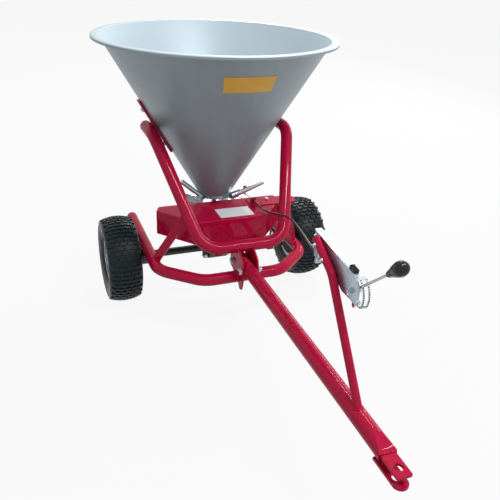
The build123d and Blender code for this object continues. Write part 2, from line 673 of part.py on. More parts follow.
# Axle: one shaft through both bearings, the gearbox and both wheels
AXLE_HALF = TRACK / 2 + HUB_LENGTH / 2
PIN_X = TRACK / 2 - HUB_LENGTH / 2 + 12
with BuildPart() as axle_shaft:
    with BuildSketch(Plane((-AXLE_HALF, AXLE_Y, AXLE_Z), z_dir=(1, 0, 0))):
        Circle(AXLE_OD / 2)
    extrude(amount=2 * AXLE_HALF)
    for side in (-1, 1):
        with BuildSketch(Plane((side * AXLE_HALF, AXLE_Y, AXLE_Z), z_dir=(side, 0, 0))):
            Circle(END_BOLT / 2 + RUN)
        extrude(amount=-2.6 * END_BOLT, mode=Mode.SUBTRACT)
    with BuildSketch(Plane((PIN_X, AXLE_Y, AXLE_Z))):
        Circle(DRIVE_PIN / 2 + RUN)
    extrude(amount=AXLE_OD, both=True, mode=Mode.SUBTRACT)
keep(axle_shaft, "axle_shaft")

# Drive pin: locks the right wheel's hub to the axle
HUB_INNER_R = AXLE_OD / 2 + RUN + BUSH_WALL + RUN
HUB_OUTER_R = HUB_INNER_R + HUB_WALL
with BuildPart() as drive_pin:
    with BuildSketch(Plane((PIN_X, AXLE_Y, AXLE_Z))):
        Circle(DRIVE_PIN / 2)
    extrude(amount=HUB_OUTER_R + 3, both=True)
keep(drive_pin, "drive_pin")

# Bearing housings: pillow blocks under the side tubes
HOUSING_R = BEARING_OD / 2 + HOUSING_WALL
HOUSING_TOP_Z = LOWER_Z - TUBE_OD / 2 - SEAT
for side, name in ((-1, "left"), (1, "right")):
    housing_side = Plane((side * LOWER_SIDE_HALF, AXLE_Y, AXLE_Z), x_dir=(0, 1, 0), z_dir=(1, 0, 0))
    with BuildPart() as bearing_housing:
        with BuildSketch(housing_side):
            Circle(HOUSING_R)
            with Locations((0, (HOUSING_TOP_Z - AXLE_Z) / 2)):
                Rectangle(2 * HOUSING_R, HOUSING_TOP_Z - AXLE_Z)
            with Locations((0, HOUSING_TOP_Z - AXLE_Z - HOUSING_BASE / 2)):
                Rectangle(HOUSING_LENGTH, HOUSING_BASE)
            with Locations((0, HOUSING_TOP_Z - AXLE_Z + HOUSING_R)):
                Rectangle(HOUSING_LENGTH, 2 * HOUSING_R, mode=Mode.SUBTRACT)
            Circle(BEARING_OD / 2 + RUN, mode=Mode.SUBTRACT)
        extrude(amount=(BEARING_WIDTH + 4) / 2, both=True)
        with BuildSketch(Plane.XY.offset(HOUSING_TOP_Z)):
            with Locations(*(spot for spot in bearing_bolt_spots if spot[0] * side > 0)):
                Circle(BEARING_BOLT / 2 + BOLT_PLAY)
        extrude(amount=-2 * HOUSING_BASE, mode=Mode.SUBTRACT)
    keep(bearing_housing, f"bearing_housing_{name}")

# Bearing inserts, one in each housing
with BuildPart() as bearings:
    for side in (-1, 1):
        with BuildSketch(Plane((side * LOWER_SIDE_HALF, AXLE_Y, AXLE_Z), z_dir=(1, 0, 0))):
            Circle(BEARING_OD / 2)
            Circle(AXLE_OD / 2 + RUN, mode=Mode.SUBTRACT)
        extrude(amount=BEARING_WIDTH / 2, both=True)
keep(bearings, "bearings")

# Bearing bolts: up through the housing's base into the bushes in the tube
bearing_bolt_parts = [
    hex_bolt(
        Plane((x, y, HOUSING_TOP_Z - HOUSING_BASE), z_dir=(0, 0, -1)),
        BEARING_BOLT,
        HOUSING_BASE + TUBE_OD / 2,
        nut=False,
    )
    for x, y in bearing_bolt_spots
]
with BuildPart() as bearing_bolts:
    add(bearing_bolt_parts)
keep(bearing_bolts, "bearing_bolts")

# Wheels: hollow tyre on a rim with its hub tube
for side, name in ((-1, "left"), (1, "right")):
    wheel_x = side * TRACK / 2
    wheel_section = Plane((wheel_x, AXLE_Y, AXLE_Z), x_dir=(1, 0, 0), z_dir=(0, -1, 0))
    half = TYRE_WIDTH / 2
    crown = TYRE_OD / 2
    bead_r = BEAD_OD / 2 + SEAT
    bead_x = RIM_WIDTH / 2 - SEAT
    flange_r = RIM_FLANGE_OD / 2
    outer_side = (
        (bead_x - 11, bead_r),
        (bead_x, bead_r),
        (bead_x, flange_r + SEAT),
        (half - 3, flange_r + 22),
        (half, crown - 32),
        (half - 8, crown - 9),
        (half * 0.45, crown),
    )
    inner_side = (
        (half * 0.6, crown - 9 - TYRE_WALL),
        (half - TYRE_WALL, crown - 34),
        (bead_x - 8, flange_r),
    )
    section = (
        *outer_side,
        *((-x, r) for x, r in reversed(outer_side)),
        *((-x, r) for x, r in reversed(inner_side)),
        *inner_side,
    )
    with BuildPart() as tyre:
        with BuildSketch(wheel_section):
            with BuildLine():
                Polyline(*section, close=True)
            make_face()
        revolve(axis=AXLE_LINE)
    keep(tyre, f"tyre_{name}")

    hub_bore_r = HUB_INNER_R if side < 0 else AXLE_OD / 2 + RUN
    with BuildPart() as rim:
        with BuildSketch(wheel_section):
            barrel_r = BEAD_OD / 2 - RIM_WALL / 2
            with Locations((0, barrel_r)):
                Rectangle(RIM_WIDTH, RIM_WALL)
            for end in (-1, 1):
                with Locations((end * (RIM_WIDTH + RIM_WALL) / 2, (barrel_r - RIM_WALL / 2 + flange_r) / 2)):
                    Rectangle(RIM_WALL, flange_r - barrel_r + RIM_WALL / 2)
            with Locations((0, (barrel_r + HUB_OUTER_R) / 2)):
                Rectangle(RIM_WALL + 1, barrel_r - HUB_OUTER_R + 2)
            with Locations((0, (hub_bore_r + HUB_OUTER_R) / 2)):
                Rectangle(HUB_LENGTH, HUB_OUTER_R - hub_bore_r)
        revolve(axis=AXLE_LINE)
        if side > 0:
            with BuildSketch(Plane((PIN_X, AXLE_Y, AXLE_Z))):
                Circle(DRIVE_PIN / 2 + RUN)
            extrude(amount=HUB_OUTER_R + 1, both=True, mode=Mode.SUBTRACT)
    keep(rim, f"rim_{name}")

# Spacers: sleeves on the axle between the bearings and the hubs
SPACER_START = LOWER_SIDE_HALF + BEARING_WIDTH / 2 + PASS
SPACER_END = TRACK / 2 - HUB_LENGTH / 2 - PASS
with BuildPart() as axle_spacers:
    for side in (-1, 1):
        with BuildSketch(Plane((side * SPACER_START, AXLE_Y, AXLE_Z), z_dir=(side, 0, 0))):
            Circle(AXLE_OD / 2 + SPACER_WALL)
            Circle(AXLE_OD / 2 + RUN, mode=Mode.SUBTRACT)
        extrude(amount=SPACER_END - SPACER_START)
keep(axle_spacers, "axle_spacers")

# Axle ends: a washer and a bolt that keep each wheel on
with BuildPart() as axle_end_bolts:
    for side in (-1, 1):
        end_face = Plane((side * (AXLE_HALF + SEAT), AXLE_Y, AXLE_Z), z_dir=(side, 0, 0))
        with BuildSketch(end_face):
            Circle(END_WASHER_OD / 2)
        extrude(amount=END_WASHER)
        with BuildSketch(end_face.offset(END_WASHER)):
            RegularPolygon(END_BOLT * 0.85, 6, major_radius=False)
        extrude(amount=END_BOLT * 0.65)
        with BuildSketch(end_face):
            Circle(END_BOLT / 2)
        extrude(amount=-2.4 * END_BOLT)
keep(axle_end_bolts, "axle_end_bolts")

# Bush in the left hub, which turns freely on the axle
with BuildPart() as hub_bush:
    with BuildSketch(Plane((-TRACK / 2, AXLE_Y, AXLE_Z), z_dir=(1, 0, 0))):
        Circle(AXLE_OD / 2 + RUN + BUSH_WALL)
        Circle(AXLE_OD / 2 + RUN, mode=Mode.SUBTRACT)
    extrude(amount=HUB_LENGTH / 2, both=True)
keep(hub_bush, "hub_bush")

# Bevel gears: both pitch cones meet at the axle's middle, and their common line runs up and to the right
APEX = Vector(0, AXLE_Y, AXLE_Z)
CROWN_R = GEAR_MODULE * CROWN_TEETH / 2
PINION_R = GEAR_MODULE * PINION_TEETH / 2
CONE_LENGTH = sqrt(CROWN_R**2 + PINION_R**2)
PITCH_LINE = Vector(PINION_R, 0, CROWN_R) / CONE_LENGTH
CROWN_OUT = Vector(-CROWN_R, 0, PINION_R) / CONE_LENGTH
INNER_SHARE = (CONE_LENGTH - FACE_WIDTH) / CONE_LENGTH
OUTER_RIM = 1 + GEAR_RIM / CONE_LENGTH
INNER_RIM = INNER_SHARE - GEAR_RIM / CONE_LENGTH


def bevel_tooth(outward):
    """One tapered tooth on the common pitch line, pointing away from its own gear."""
    tooth_side = outward.cross(PITCH_LINE)
    with BuildPart() as tooth:
        for share in (1, INNER_SHARE):
            tip = TOOTH_WIDTH / 2 - ADDENDUM * tan(radians(FLANK_ANGLE))
            root = TOOTH_WIDTH / 2 + DEDENDUM * tan(radians(FLANK_ANGLE))
            deep = DEDENDUM + GEAR_MODULE / 2
            pitch_point = APEX + PITCH_LINE * CONE_LENGTH * share
            with BuildSketch(Plane(pitch_point, x_dir=tooth_side, z_dir=PITCH_LINE)):
                with BuildLine():
                    Polyline(
                        (-tip * share, ADDENDUM * share),
                        (tip * share, ADDENDUM * share),
                        (root * share, -DEDENDUM * share),
                        (root * share, -deep * share),
                        (-root * share, -deep * share),
                        (-root * share, -DEDENDUM * share),
                        close=True,
                    )
                make_face()
        loft(ruled=True)
    return tooth.part


# Crown gear: pinned on the axle, teeth towards the middle
gear_root = DEDENDUM / CONE_LENGTH
crown_tooth = bevel_tooth(CROWN_OUT)
with BuildPart() as crown_gear:
    with BuildSketch(UPRIGHT_PLANE):
        crown_x = PINION_R + gear_root * CROWN_R
        crown_r = CROWN_R - gear_root * PINION_R
        outer = (crown_x * OUTER_RIM, AXLE_Z + crown_r * OUTER_RIM)
        inner = (crown_x * INNER_RIM, AXLE_Z + crown_r * INNER_RIM)
        back_x = outer[0] + CROWN_BACK
        with BuildLine():
            Polyline(
                (inner[0], AXLE_Z + AXLE_OD / 2 + RUN),
                inner,
                outer,
                (back_x, outer[1]),
                (back_x, AXLE_Z + CROWN_HUB_OD / 2),
                (back_x + CROWN_HUB_LENGTH, AXLE_Z + CROWN_HUB_OD / 2),
                (back_x + CROWN_HUB_LENGTH, AXLE_Z + AXLE_OD / 2 + RUN),
                close=True,
            )
        make_face()
    revolve(axis=AXLE_LINE)
    add([crown_tooth.rotate(AXLE_LINE, 360 / CROWN_TEETH * i) for i in range(CROWN_TEETH)])
keep(crown_gear, "crown_gear")

# Pinion: on the spinner shaft's spigot, half a tooth round so that it meshes with the crown
pinion_tooth = bevel_tooth(CROWN_OUT * -1)
pinion_r = PINION_R - gear_root * CROWN_R
pinion_z = CROWN_R + gear_root * PINION_R
pinion_outer = (pinion_r * OUTER_RIM, AXLE_Z + pinion_z * OUTER_RIM)
pinion_inner = (pinion_r * INNER_RIM, AXLE_Z + pinion_z * INNER_RIM)
PINION_TOP_Z = pinion_outer[1] + PINION_HUB_LENGTH
with BuildPart() as pinion:
    with BuildSketch(UPRIGHT_PLANE):
        with BuildLine():
            Polyline(
                (SPIGOT_OD / 2 + RUN, pinion_inner[1]),
                pinion_inner,
                pinion_outer,
                (pinion_outer[0], PINION_TOP_Z),
                (SPIGOT_OD / 2 + RUN, PINION_TOP_Z),
                close=True,
            )
        make_face()
    revolve(axis=SPIN_LINE)
    add([pinion_tooth.rotate(SPIN_LINE, 360 / PINION_TEETH * (i + 0.5)) for i in range(PINION_TEETH)])
keep(pinion, "pinion")

# Spinner shaft: turned down to a spigot for the pinion, cross-drilled at the top for the agitator
with BuildPart() as spinner_shaft:
    with BuildSketch(Plane((0, AXLE_Y, pinion_inner[1]))):
        Circle(SPIGOT_OD / 2)
    extrude(amount=PINION_TOP_Z + SEAT - pinion_inner[1])
    with BuildSketch(Plane((0, AXLE_Y, PINION_TOP_Z + SEAT))):
        Circle(SHAFT_OD / 2)
    extrude(amount=SHAFT_TOP_Z - PINION_TOP_Z - SEAT)
    with BuildSketch(Plane((0, AXLE_Y, AGITATOR_Z), z_dir=(1, 0, 0))):
        Circle(AGITATOR_OD / 2 + RUN)
    extrude(amount=SHAFT_OD, both=True, mode=Mode.SUBTRACT)
keep(spinner_shaft, "spinner_shaft")

# Agitator: a cross pin that stirs the hopper's mouth
with BuildPart() as agitator:
    with BuildSketch(Plane((0, AXLE_Y, AGITATOR_Z), z_dir=(1, 0, 0))):
        Circle(AGITATOR_OD / 2)
    extrude(amount=AGITATOR_SPAN / 2, both=True)
keep(agitator, "agitator")

# Spinner disc: shallow spun dish with a hub on the shaft
with BuildPart() as spinner_disc:
    with BuildSketch(UPRIGHT_PLANE):
        with BuildLine():
            Polyline(
                (SHAFT_OD / 2 + RUN, DISC_Z - DISC_HUB_LENGTH),
                (DISC_HUB_OD / 2, DISC_Z - DISC_HUB_LENGTH),
                (DISC_HUB_OD / 2, DISC_Z),
                (DISC_R - 2 * DISC_DISH, DISC_Z),
                (DISC_R, DISC_Z + DISC_DISH / 2),
                (DISC_R, DISC_Z + DISC_DISH / 2 + DISC_THICK),
                (DISC_R - 2 * DISC_DISH, DISC_Z + DISC_THICK),
                (SHAFT_OD / 2 + RUN, DISC_Z + DISC_THICK),
                close=True,
            )
        make_face()
    revolve(axis=SPIN_LINE)
keep(spinner_disc, "spinner_disc")

# Vanes: folded angles on the disc that throw the material out
with BuildPart() as vane:
    vane_root = (VANE_START, AXLE_Y, DISC_Z + DISC_THICK + SEAT)
    with BuildSketch(Plane(vane_root, x_dir=(0, 1, 0), z_dir=(1, 0, 0))):
        with Locations((VANE_FOOT / 2, VANE_THICK / 2)):
            Rectangle(VANE_FOOT, VANE_THICK)
        with Locations((VANE_THICK / 2, VANE_HEIGHT / 2)):
            Rectangle(VANE_THICK, VANE_HEIGHT)
    extrude(amount=DISC_R - 2 * DISC_DISH - VANE_START)
with BuildPart() as spinner_vanes:
    for i in range(VANE_COUNT):
        add(vane.part.rotate(SPIN_LINE, 45 + 360 / VANE_COUNT * i))
keep(spinner_vanes, "spinner_vanes")

# Gearbox: cast housing split along both shafts, the halves bolted together
BOX_INNER_R = CROWN_R + ADDENDUM + BOX_GAP
BOX_OUTER_R = BOX_INNER_R + BOX_WALL
BOX_RIGHT = back_x + CROWN_HUB_LENGTH + BOX_GAP
BOX_LEFT = -PINION_R - ADDENDUM - BOX_GAP
NECK_FLOOR = PINION_TOP_Z + SEAT + BOX_GAP
BOX_MID = (BOX_LEFT + BOX_RIGHT) / 2
BOX_HALF = (BOX_RIGHT - BOX_LEFT) / 2 + BOX_WALL
BOX_BOLT_HALF = BOX_HALF + BOX_BOLT + 3
box_bolt_spots = [
    (BOX_MID + x * BOX_BOLT_HALF, AXLE_Z + z * BOX_BOLT_RISE)
    for x in (-1, 1)
    for z in (-1, 1)
]
with BuildPart() as gearbox:
    with BuildSketch(Plane((BOX_MID, AXLE_Y, AXLE_Z), z_dir=(1, 0, 0))):
        Circle(BOX_OUTER_R)
    extrude(amount=BOX_HALF, both=True)
    with BuildSketch(Plane((BOX_MID, AXLE_Y, AXLE_Z), z_dir=(1, 0, 0))):
        Circle(BOX_BOSS_OD / 2)
    extrude(amount=BOX_HALF + BOX_BOSS_LENGTH, both=True)
    with BuildSketch(Plane((0, AXLE_Y, AXLE_Z))):
        Circle(BOX_NECK_OD / 2)
    extrude(amount=BOX_NECK_Z - AXLE_Z)
    with BuildSketch(UPRIGHT_PLANE):
        with Locations((BOX_MID, AXLE_Z)):
            RectangleRounded(2 * (BOX_BOLT_HALF + BOX_BOLT_INSET), 2 * (BOX_BOLT_RISE + BOX_BOLT_INSET), 10)
    extrude(amount=BOX_FLANGE, both=True)
    with BuildSketch(Plane((BOX_LEFT, AXLE_Y, AXLE_Z), z_dir=(1, 0, 0))):
        Circle(BOX_INNER_R)
    extrude(amount=BOX_RIGHT - BOX_LEFT, mode=Mode.SUBTRACT)
    with BuildSketch(Plane((0, AXLE_Y, AXLE_Z))):
        Circle(PINION_R + ADDENDUM + BOX_GAP)
    extrude(amount=NECK_FLOOR - AXLE_Z, mode=Mode.SUBTRACT)
    with BuildSketch(Plane((BOX_MID, AXLE_Y, AXLE_Z), z_dir=(1, 0, 0))):
        Circle(AXLE_OD / 2 + RUN)
    extrude(amount=2 * BOX_BOLT_HALF, both=True, mode=Mode.SUBTRACT)
    with BuildSketch(Plane((0, AXLE_Y, AXLE_Z))):
        Circle(SHAFT_OD / 2 + RUN)
    extrude(amount=2 * BOX_NECK_Z, mode=Mode.SUBTRACT)
    with BuildSketch(UPRIGHT_PLANE):
        with Locations(*box_bolt_spots):
            Circle(BOX_BOLT / 2 + BOLT_PLAY)
    extrude(amount=2 * BOX_FLANGE, both=True, mode=Mode.SUBTRACT)
for name, cut, kept in (
    ("gearbox_front", UPRIGHT_PLANE.offset(SEAT / 2), Keep.TOP),
    ("gearbox_rear", UPRIGHT_PLANE.offset(-SEAT / 2), Keep.BOTTOM),
):
    with BuildPart() as gearbox_half:
        add(gearbox.part)
        split(bisect_by=cut, keep=kept)
    keep(gearbox_half, name)

# Gearbox bolts, with their heads at the front
gearbox_bolt_parts = [
    hex_bolt(Plane((x, AXLE_Y - BOX_FLANGE, z), z_dir=(0, -1, 0)), BOX_BOLT, 2 * BOX_FLANGE)
    for x, z in box_bolt_spots
]
with BuildPart() as gearbox_bolts:
    add(gearbox_bolt_parts)
keep(gearbox_bolts, "gearbox_bolts")

# Guard: folded sheet with a level roof, open at the bottom and the rear
guard_outline = (
    (-GUARD_SIDE_HALF + GUARD_REAR_TAPER, ahead(GUARD_REAR_REACH)),
    (-GUARD_SIDE_HALF, ahead(GUARD_SIDE_REACH)),
    (-GUARD_FRONT_HALF, ahead(GUARD_FRONT_REACH)),
    (GUARD_FRONT_HALF, ahead(GUARD_FRONT_REACH)),
    (GUARD_SIDE_HALF, ahead(GUARD_SIDE_REACH)),
    (GUARD_SIDE_HALF - GUARD_REAR_TAPER, ahead(GUARD_REAR_REACH)),
)
guard_bends = (0, GUARD_BEND, GUARD_FRONT_BEND, GUARD_FRONT_BEND, GUARD_BEND, 0)
GUARD_BOTTOM_Z = GUARD_TOP_Z - GUARD_DROP
with BuildPart() as guard:
    with BuildSketch(Plane.XY.offset(GUARD_BOTTOM_Z)):
        with BuildLine():
            FilletPolyline(*guard_outline, radius=list(guard_bends), close=True)
        make_face()
    extrude(amount=GUARD_DROP)
    rear_face = guard.faces().sort_by(Axis.Y)[-1]
    bottom_face = guard.faces().sort_by(Axis.Z)[0]
    offset(amount=-GUARD_SHEET, openings=[rear_face, bottom_face])
    with BuildSketch(Plane((STOP_BOLT_X, ahead(STOP_BOLT_REACH), GUARD_TOP_Z))):
        Circle(STOP_BOLT / 2 + BOLT_PLAY)
    extrude(amount=-2 * GUARD_SHEET, mode=Mode.SUBTRACT)
keep(guard, "guard")

# Guard stays: flat bars welded under the hoop's bar and to the inside of the skirt
stay_line = (
    (ahead(FRONT_REACH + 6), HOOP_Z - TUBE_OD / 2 - SEAT - STAY_THICK / 2),
    (ahead(FRONT_REACH - 14), HOOP_Z - TUBE_OD / 2 - SEAT - STAY_THICK / 2),
    (ahead(GUARD_FRONT_REACH + 6), GUARD_BOTTOM_Z - STAY_THICK),
    (ahead(GUARD_FRONT_REACH - GUARD_SHEET - SEAT - STAY_THICK / 2), GUARD_BOTTOM_Z - STAY_THICK),
    (ahead(GUARD_FRONT_REACH - GUARD_SHEET - SEAT - STAY_THICK / 2), GUARD_BOTTOM_Z + STAY_RISE),
)
with BuildPart() as guard_stays:
    for side in (-1, 1):
        with BuildSketch(Plane.YZ.offset(side * STAY_HALF)):
            with BuildLine():
                Polyline(*stay_line)
            trace(line_width=STAY_THICK)
        extrude(amount=STAY_WIDTH / 2, both=True)
keep(guard_stays, "guard_stays")

# Control mast: bent tube, its foot coped to the drawbar
mast_slope = (MAST_FOOT_REACH - MAST_BEND_REACH) / (MAST_BEND_Z - DRAWBAR_Z - DRAWBAR_OD / 2)
mast_root = (0, ahead(MAST_FOOT_REACH + mast_slope * DRAWBAR_OD / 2), DRAWBAR_Z)
mast_points = (
    mast_root,
    (0, ahead(MAST_BEND_REACH), MAST_BEND_Z),
    (0, ahead(MAST_TOP_REACH), MAST_TOP_Z),
)
mast_rise = (MAST_TOP_Z - MAST_BEND_Z) / (MAST_BEND_REACH - MAST_TOP_REACH)
mast_bolt_spots = [
    (ahead(reach), MAST_TOP_Z - (reach - MAST_TOP_REACH) * mast_rise) for reach in MAST_BOLT_REACHES
]
with BuildLine() as mast_path:
    FilletPolyline(*mast_points, radius=MAST_BEND_R)
with BuildPart() as control_mast:
    with BuildSketch(Plane(mast_root, z_dir=mast_path.line % 0)):
        Circle(MAST_OD / 2)
        Circle(MAST_OD / 2 - MAST_WALL, mode=Mode.SUBTRACT)
    sweep(path=mast_path.wire())
    with BuildSketch(drawbar_start):
        Circle(DRAWBAR_OD / 2 + SEAT)
    extrude(amount=HITCH_REACH, mode=Mode.SUBTRACT)
    with BuildSketch(Plane.YZ):
        with Locations(*mast_bolt_spots):
            Circle(BRACKET_BOLT / 2 + BOLT_PLAY)
    extrude(amount=MAST_OD, both=True, mode=Mode.SUBTRACT)
keep(control_mast, "control_mast")

# Control bracket: plate on the mast's side with a top flange and a front lug for the scale band
WEB_IN = MAST_OD / 2 + SEAT
WEB_OUT = WEB_IN + BRACKET_SHEET
LEVER_X = WEB_OUT + SEAT + BAND_WIDTH / 2
PIVOT_Y = ahead(PIVOT_REACH)
flange_rear = Vector(ahead(FLANGE_REAR_REACH), FLANGE_REAR_Z)
flange_front = Vector(ahead(FLANGE_FRONT_REACH), FLANGE_FRONT_Z)
flange_run = (flange_rear - flange_front).normalized()
flange_up = Vector(-flange_run.Y, flange_run.X)
clamp_bolt_spot = (ahead(CLAMP_REACH), FLANGE_REAR_Z - CLAMP_BOLT_DROP)
with BuildPart() as control_bracket:
    with BuildSketch(Plane.YZ.offset(WEB_IN)):
        with BuildLine():
            nose_top = (PIVOT_Y - 26, PIVOT_Z + 34)
            nose_low = (PIVOT_Y - 26, PIVOT_Z - LUG_DROP)
            Line(flange_rear, flange_front)
            Line(flange_front, nose_top)
            ThreePointArc(nose_top, (PIVOT_Y - 35, PIVOT_Z + 8), nose_low)
            Polyline(nose_low, (ahead(1000), PIVOT_Z - LUG_DROP), (ahead(842), 598), flange_rear)
        make_face()
        with Locations((PIVOT_Y, PIVOT_Z)):
            Circle(PIVOT_BOLT / 2 + RUN, mode=Mode.SUBTRACT)
        with Locations(*mast_bolt_spots, clamp_bolt_spot):
            Circle(BRACKET_BOLT / 2 + BOLT_PLAY, mode=Mode.SUBTRACT)
    extrude(amount=BRACKET_SHEET)
    with BuildSketch(Plane.YZ.offset(WEB_IN)):
        with BuildLine():
            Polyline(
                flange_rear,
                flange_front,
                flange_front - flange_up * BRACKET_SHEET,
                flange_rear - flange_up * BRACKET_SHEET,
                close=True,
            )
        make_face()
    extrude(amount=BRACKET_SHEET + BRACKET_FLANGE)
    with BuildSketch(Plane.XY.offset(PIVOT_Z - LUG_DROP)):
        with Locations(((WEB_IN + LEVER_X + BAND_WIDTH / 2) / 2, PIVOT_Y - LUG_SETBACK - LUG_LENGTH / 2)):
            Rectangle(LEVER_X + BAND_WIDTH / 2 - WEB_IN, LUG_LENGTH)
    extrude(amount=BRACKET_SHEET)
keep(control_bracket, "control_bracket")

# Bracket bolts: two through the mast, one for the cable clamp
bracket_bolt_parts = [
    hex_bolt(Plane((WEB_OUT, y, z), z_dir=(1, 0, 0)), BRACKET_BOLT, WEB_OUT + MAST_OD / 2)
    for y, z in mast_bolt_spots
]
bracket_bolt_parts.append(
    hex_bolt(
        Plane((WEB_OUT + SEAT + CLAMP_SHEET, *clamp_bolt_spot), z_dir=(1, 0, 0)),
        BRACKET_BOLT,
        BRACKET_SHEET + SEAT + CLAMP_SHEET,
    )
)
with BuildPart() as bracket_bolts:
    add(bracket_bolt_parts)
keep(bracket_bolts, "bracket_bolts")

# Scale band: strip bent round the lever's pivot, slotted for the lever, its ends on the flange and the lug
tab_offset = SEAT + BAND_SHEET / 2
tab_height = (flange_front - Vector(PIVOT_Y, PIVOT_Z)).dot(flange_up) + tab_offset
band_top = 90 - degrees(atan2(flange_run.Y, flange_run.X)) - degrees(acos(tab_height / BAND_R))
band_bottom = -degrees(asin((LUG_DROP + tab_offset) / BAND_R))


def band_point(angle, radius=BAND_R):
    """A point in Y and Z at this angle above the forward level line through the pivot."""
    return (PIVOT_Y - radius * cos(radians(angle)), PIVOT_Z + radius * sin(radians(angle)))


with BuildPart() as scale_band:
    with BuildSketch(Plane.YZ.offset(WEB_OUT + SEAT)):
        with BuildLine():
            upper_end = Vector(*band_point(band_top))
            lower_end = Vector(*band_point(band_bottom))
            Line(upper_end + flange_run * BAND_TAB, upper_end)
            ThreePointArc(upper_end, band_point((band_top + band_bottom) / 2), lower_end)
            Line(lower_end, lower_end + Vector(LUG_LENGTH, 0))
        trace(line_width=BAND_SHEET)
    extrude(amount=BAND_WIDTH)
    with BuildSketch(Plane.YZ.offset(LEVER_X - BAND_SLOT / 2)):
        with BuildLine():
            slot_angles = (band_top - BAND_SLOT_MARGIN, 0, band_bottom + BAND_SLOT_MARGIN)
            slot_inner = [band_point(angle, BAND_R - 3 * BAND_SHEET) for angle in slot_angles]
            slot_outer = [band_point(angle, BAND_R + 3 * BAND_SHEET) for angle in slot_angles]
            ThreePointArc(*slot_inner)
            Line(slot_inner[2], slot_outer[2])
            ThreePointArc(*slot_outer)
            Line(slot_outer[0], slot_inner[0])
        make_face()
    extrude(amount=BAND_SLOT, mode=Mode.SUBTRACT)
keep(scale_band, "scale_band")

# Limit stop: ribbed block on the flange behind the band's tab
stop_foot = flange_front + flange_run * (BAND_TAB + STOP_SIZE[0] / 2 + 2) + flange_up * SEAT
stop_plane = Plane(
    (WEB_OUT + STOP_SIZE[1] / 2, stop_foot.X, stop_foot.Y),
    x_dir=(0, flange_run.X, flange_run.Y),
    z_dir=(0, flange_up.X, flange_up.Y),
)
with BuildPart() as limit_stop:
    with BuildSketch(stop_plane):
        Rectangle(STOP_SIZE[0], STOP_SIZE[1])
    extrude(amount=STOP_SIZE[2] / 2)
    with BuildSketch(stop_plane.offset(STOP_SIZE[2] / 2)):
        with GridLocations(STOP_SIZE[0] / 4.5, 1, 5, 1):
            Rectangle(STOP_SIZE[0] / 9, STOP_SIZE[1])
    extrude(amount=STOP_SIZE[2] / 2)
keep(limit_stop, "limit_stop")

# Control lever: hub on the pivot bolt, a rod through the slot and a crank that moves the wire
lever_run = Vector(0, -cos(radians(LEVER_ANGLE)), sin(radians(LEVER_ANGLE)))
pivot = Vector(LEVER_X, PIVOT_Y, PIVOT_Z)
HUB_END = LEVER_X + LEVER_HUB_OUT
with BuildPart() as control_lever:
    with BuildSketch(Plane.YZ.offset(WEB_OUT + PASS)):
        with Locations((PIVOT_Y, PIVOT_Z)):
            Circle(LEVER_HUB_OD / 2)
    extrude(amount=HUB_END - WEB_OUT - PASS)
    with BuildSketch(Plane.YZ.offset(LEVER_X - CRANK_THICK / 2)):
        with Locations((PIVOT_Y, PIVOT_Z - CRANK / 2)):
            SlotCenterToCenter(CRANK, CRANK_WIDTH, rotation=90)
    extrude(amount=CRANK_THICK)
    with BuildSketch(Plane.YZ.offset(LEVER_X)):
        with Locations((PIVOT_Y, PIVOT_Z - CRANK)):
            Circle(CRANK_PIN / 2)
    extrude(amount=CRANK_PIN_LENGTH)
    with BuildSketch(Plane(pivot, x_dir=(1, 0, 0), z_dir=lever_run)):
        Circle(LEVER_ROD / 2)
    extrude(amount=KNOB_START + KNOB_LENGTH * 0.6)
    with BuildSketch(Plane.YZ.offset(WEB_OUT)):
        with Locations((PIVOT_Y, PIVOT_Z)):
            Circle(PIVOT_BOLT / 2 + RUN)
    extrude(amount=2 * LEVER_X, mode=Mode.SUBTRACT)
keep(control_lever, "control_lever")

# Knob: pear-shaped grip on the rod
with BuildPart() as lever_knob:
    with BuildSketch(Plane(pivot, x_dir=(1, 0, 0), z_dir=Vector(1, 0, 0).cross(lever_run))):
        with BuildLine():
            Polyline(
                (0, KNOB_START),
                (KNOB_OD * 0.22, KNOB_START),
                (KNOB_OD * 0.30, KNOB_START + KNOB_LENGTH * 0.28),
                (KNOB_OD * 0.45, KNOB_START + KNOB_LENGTH * 0.52),
                (KNOB_OD * 0.50, KNOB_START + KNOB_LENGTH * 0.70),
                (KNOB_OD * 0.42, KNOB_START + KNOB_LENGTH * 0.88),
                (KNOB_OD * 0.20, KNOB_START + KNOB_LENGTH),
                (0, KNOB_START + KNOB_LENGTH),
                close=True,
            )
        make_face()
    revolve(axis=Axis(pivot, lever_run))
    with BuildSketch(Plane(pivot + lever_run * KNOB_START, x_dir=(1, 0, 0), z_dir=lever_run)):
        Circle(LEVER_ROD / 2 + SEAT)
    extrude(amount=KNOB_LENGTH * 0.6 + SEAT, mode=Mode.SUBTRACT)
keep(lever_knob, "lever_knob")

# Pivot bolt: fixed in the bracket, the lever turns on it
pivot_seat = Plane((HUB_END + PASS, PIVOT_Y, PIVOT_Z), z_dir=(1, 0, 0))
with BuildPart() as pivot_bolt:
    add(hex_bolt(pivot_seat, PIVOT_BOLT, HUB_END + PASS - WEB_IN))
keep(pivot_bolt, "pivot_bolt")

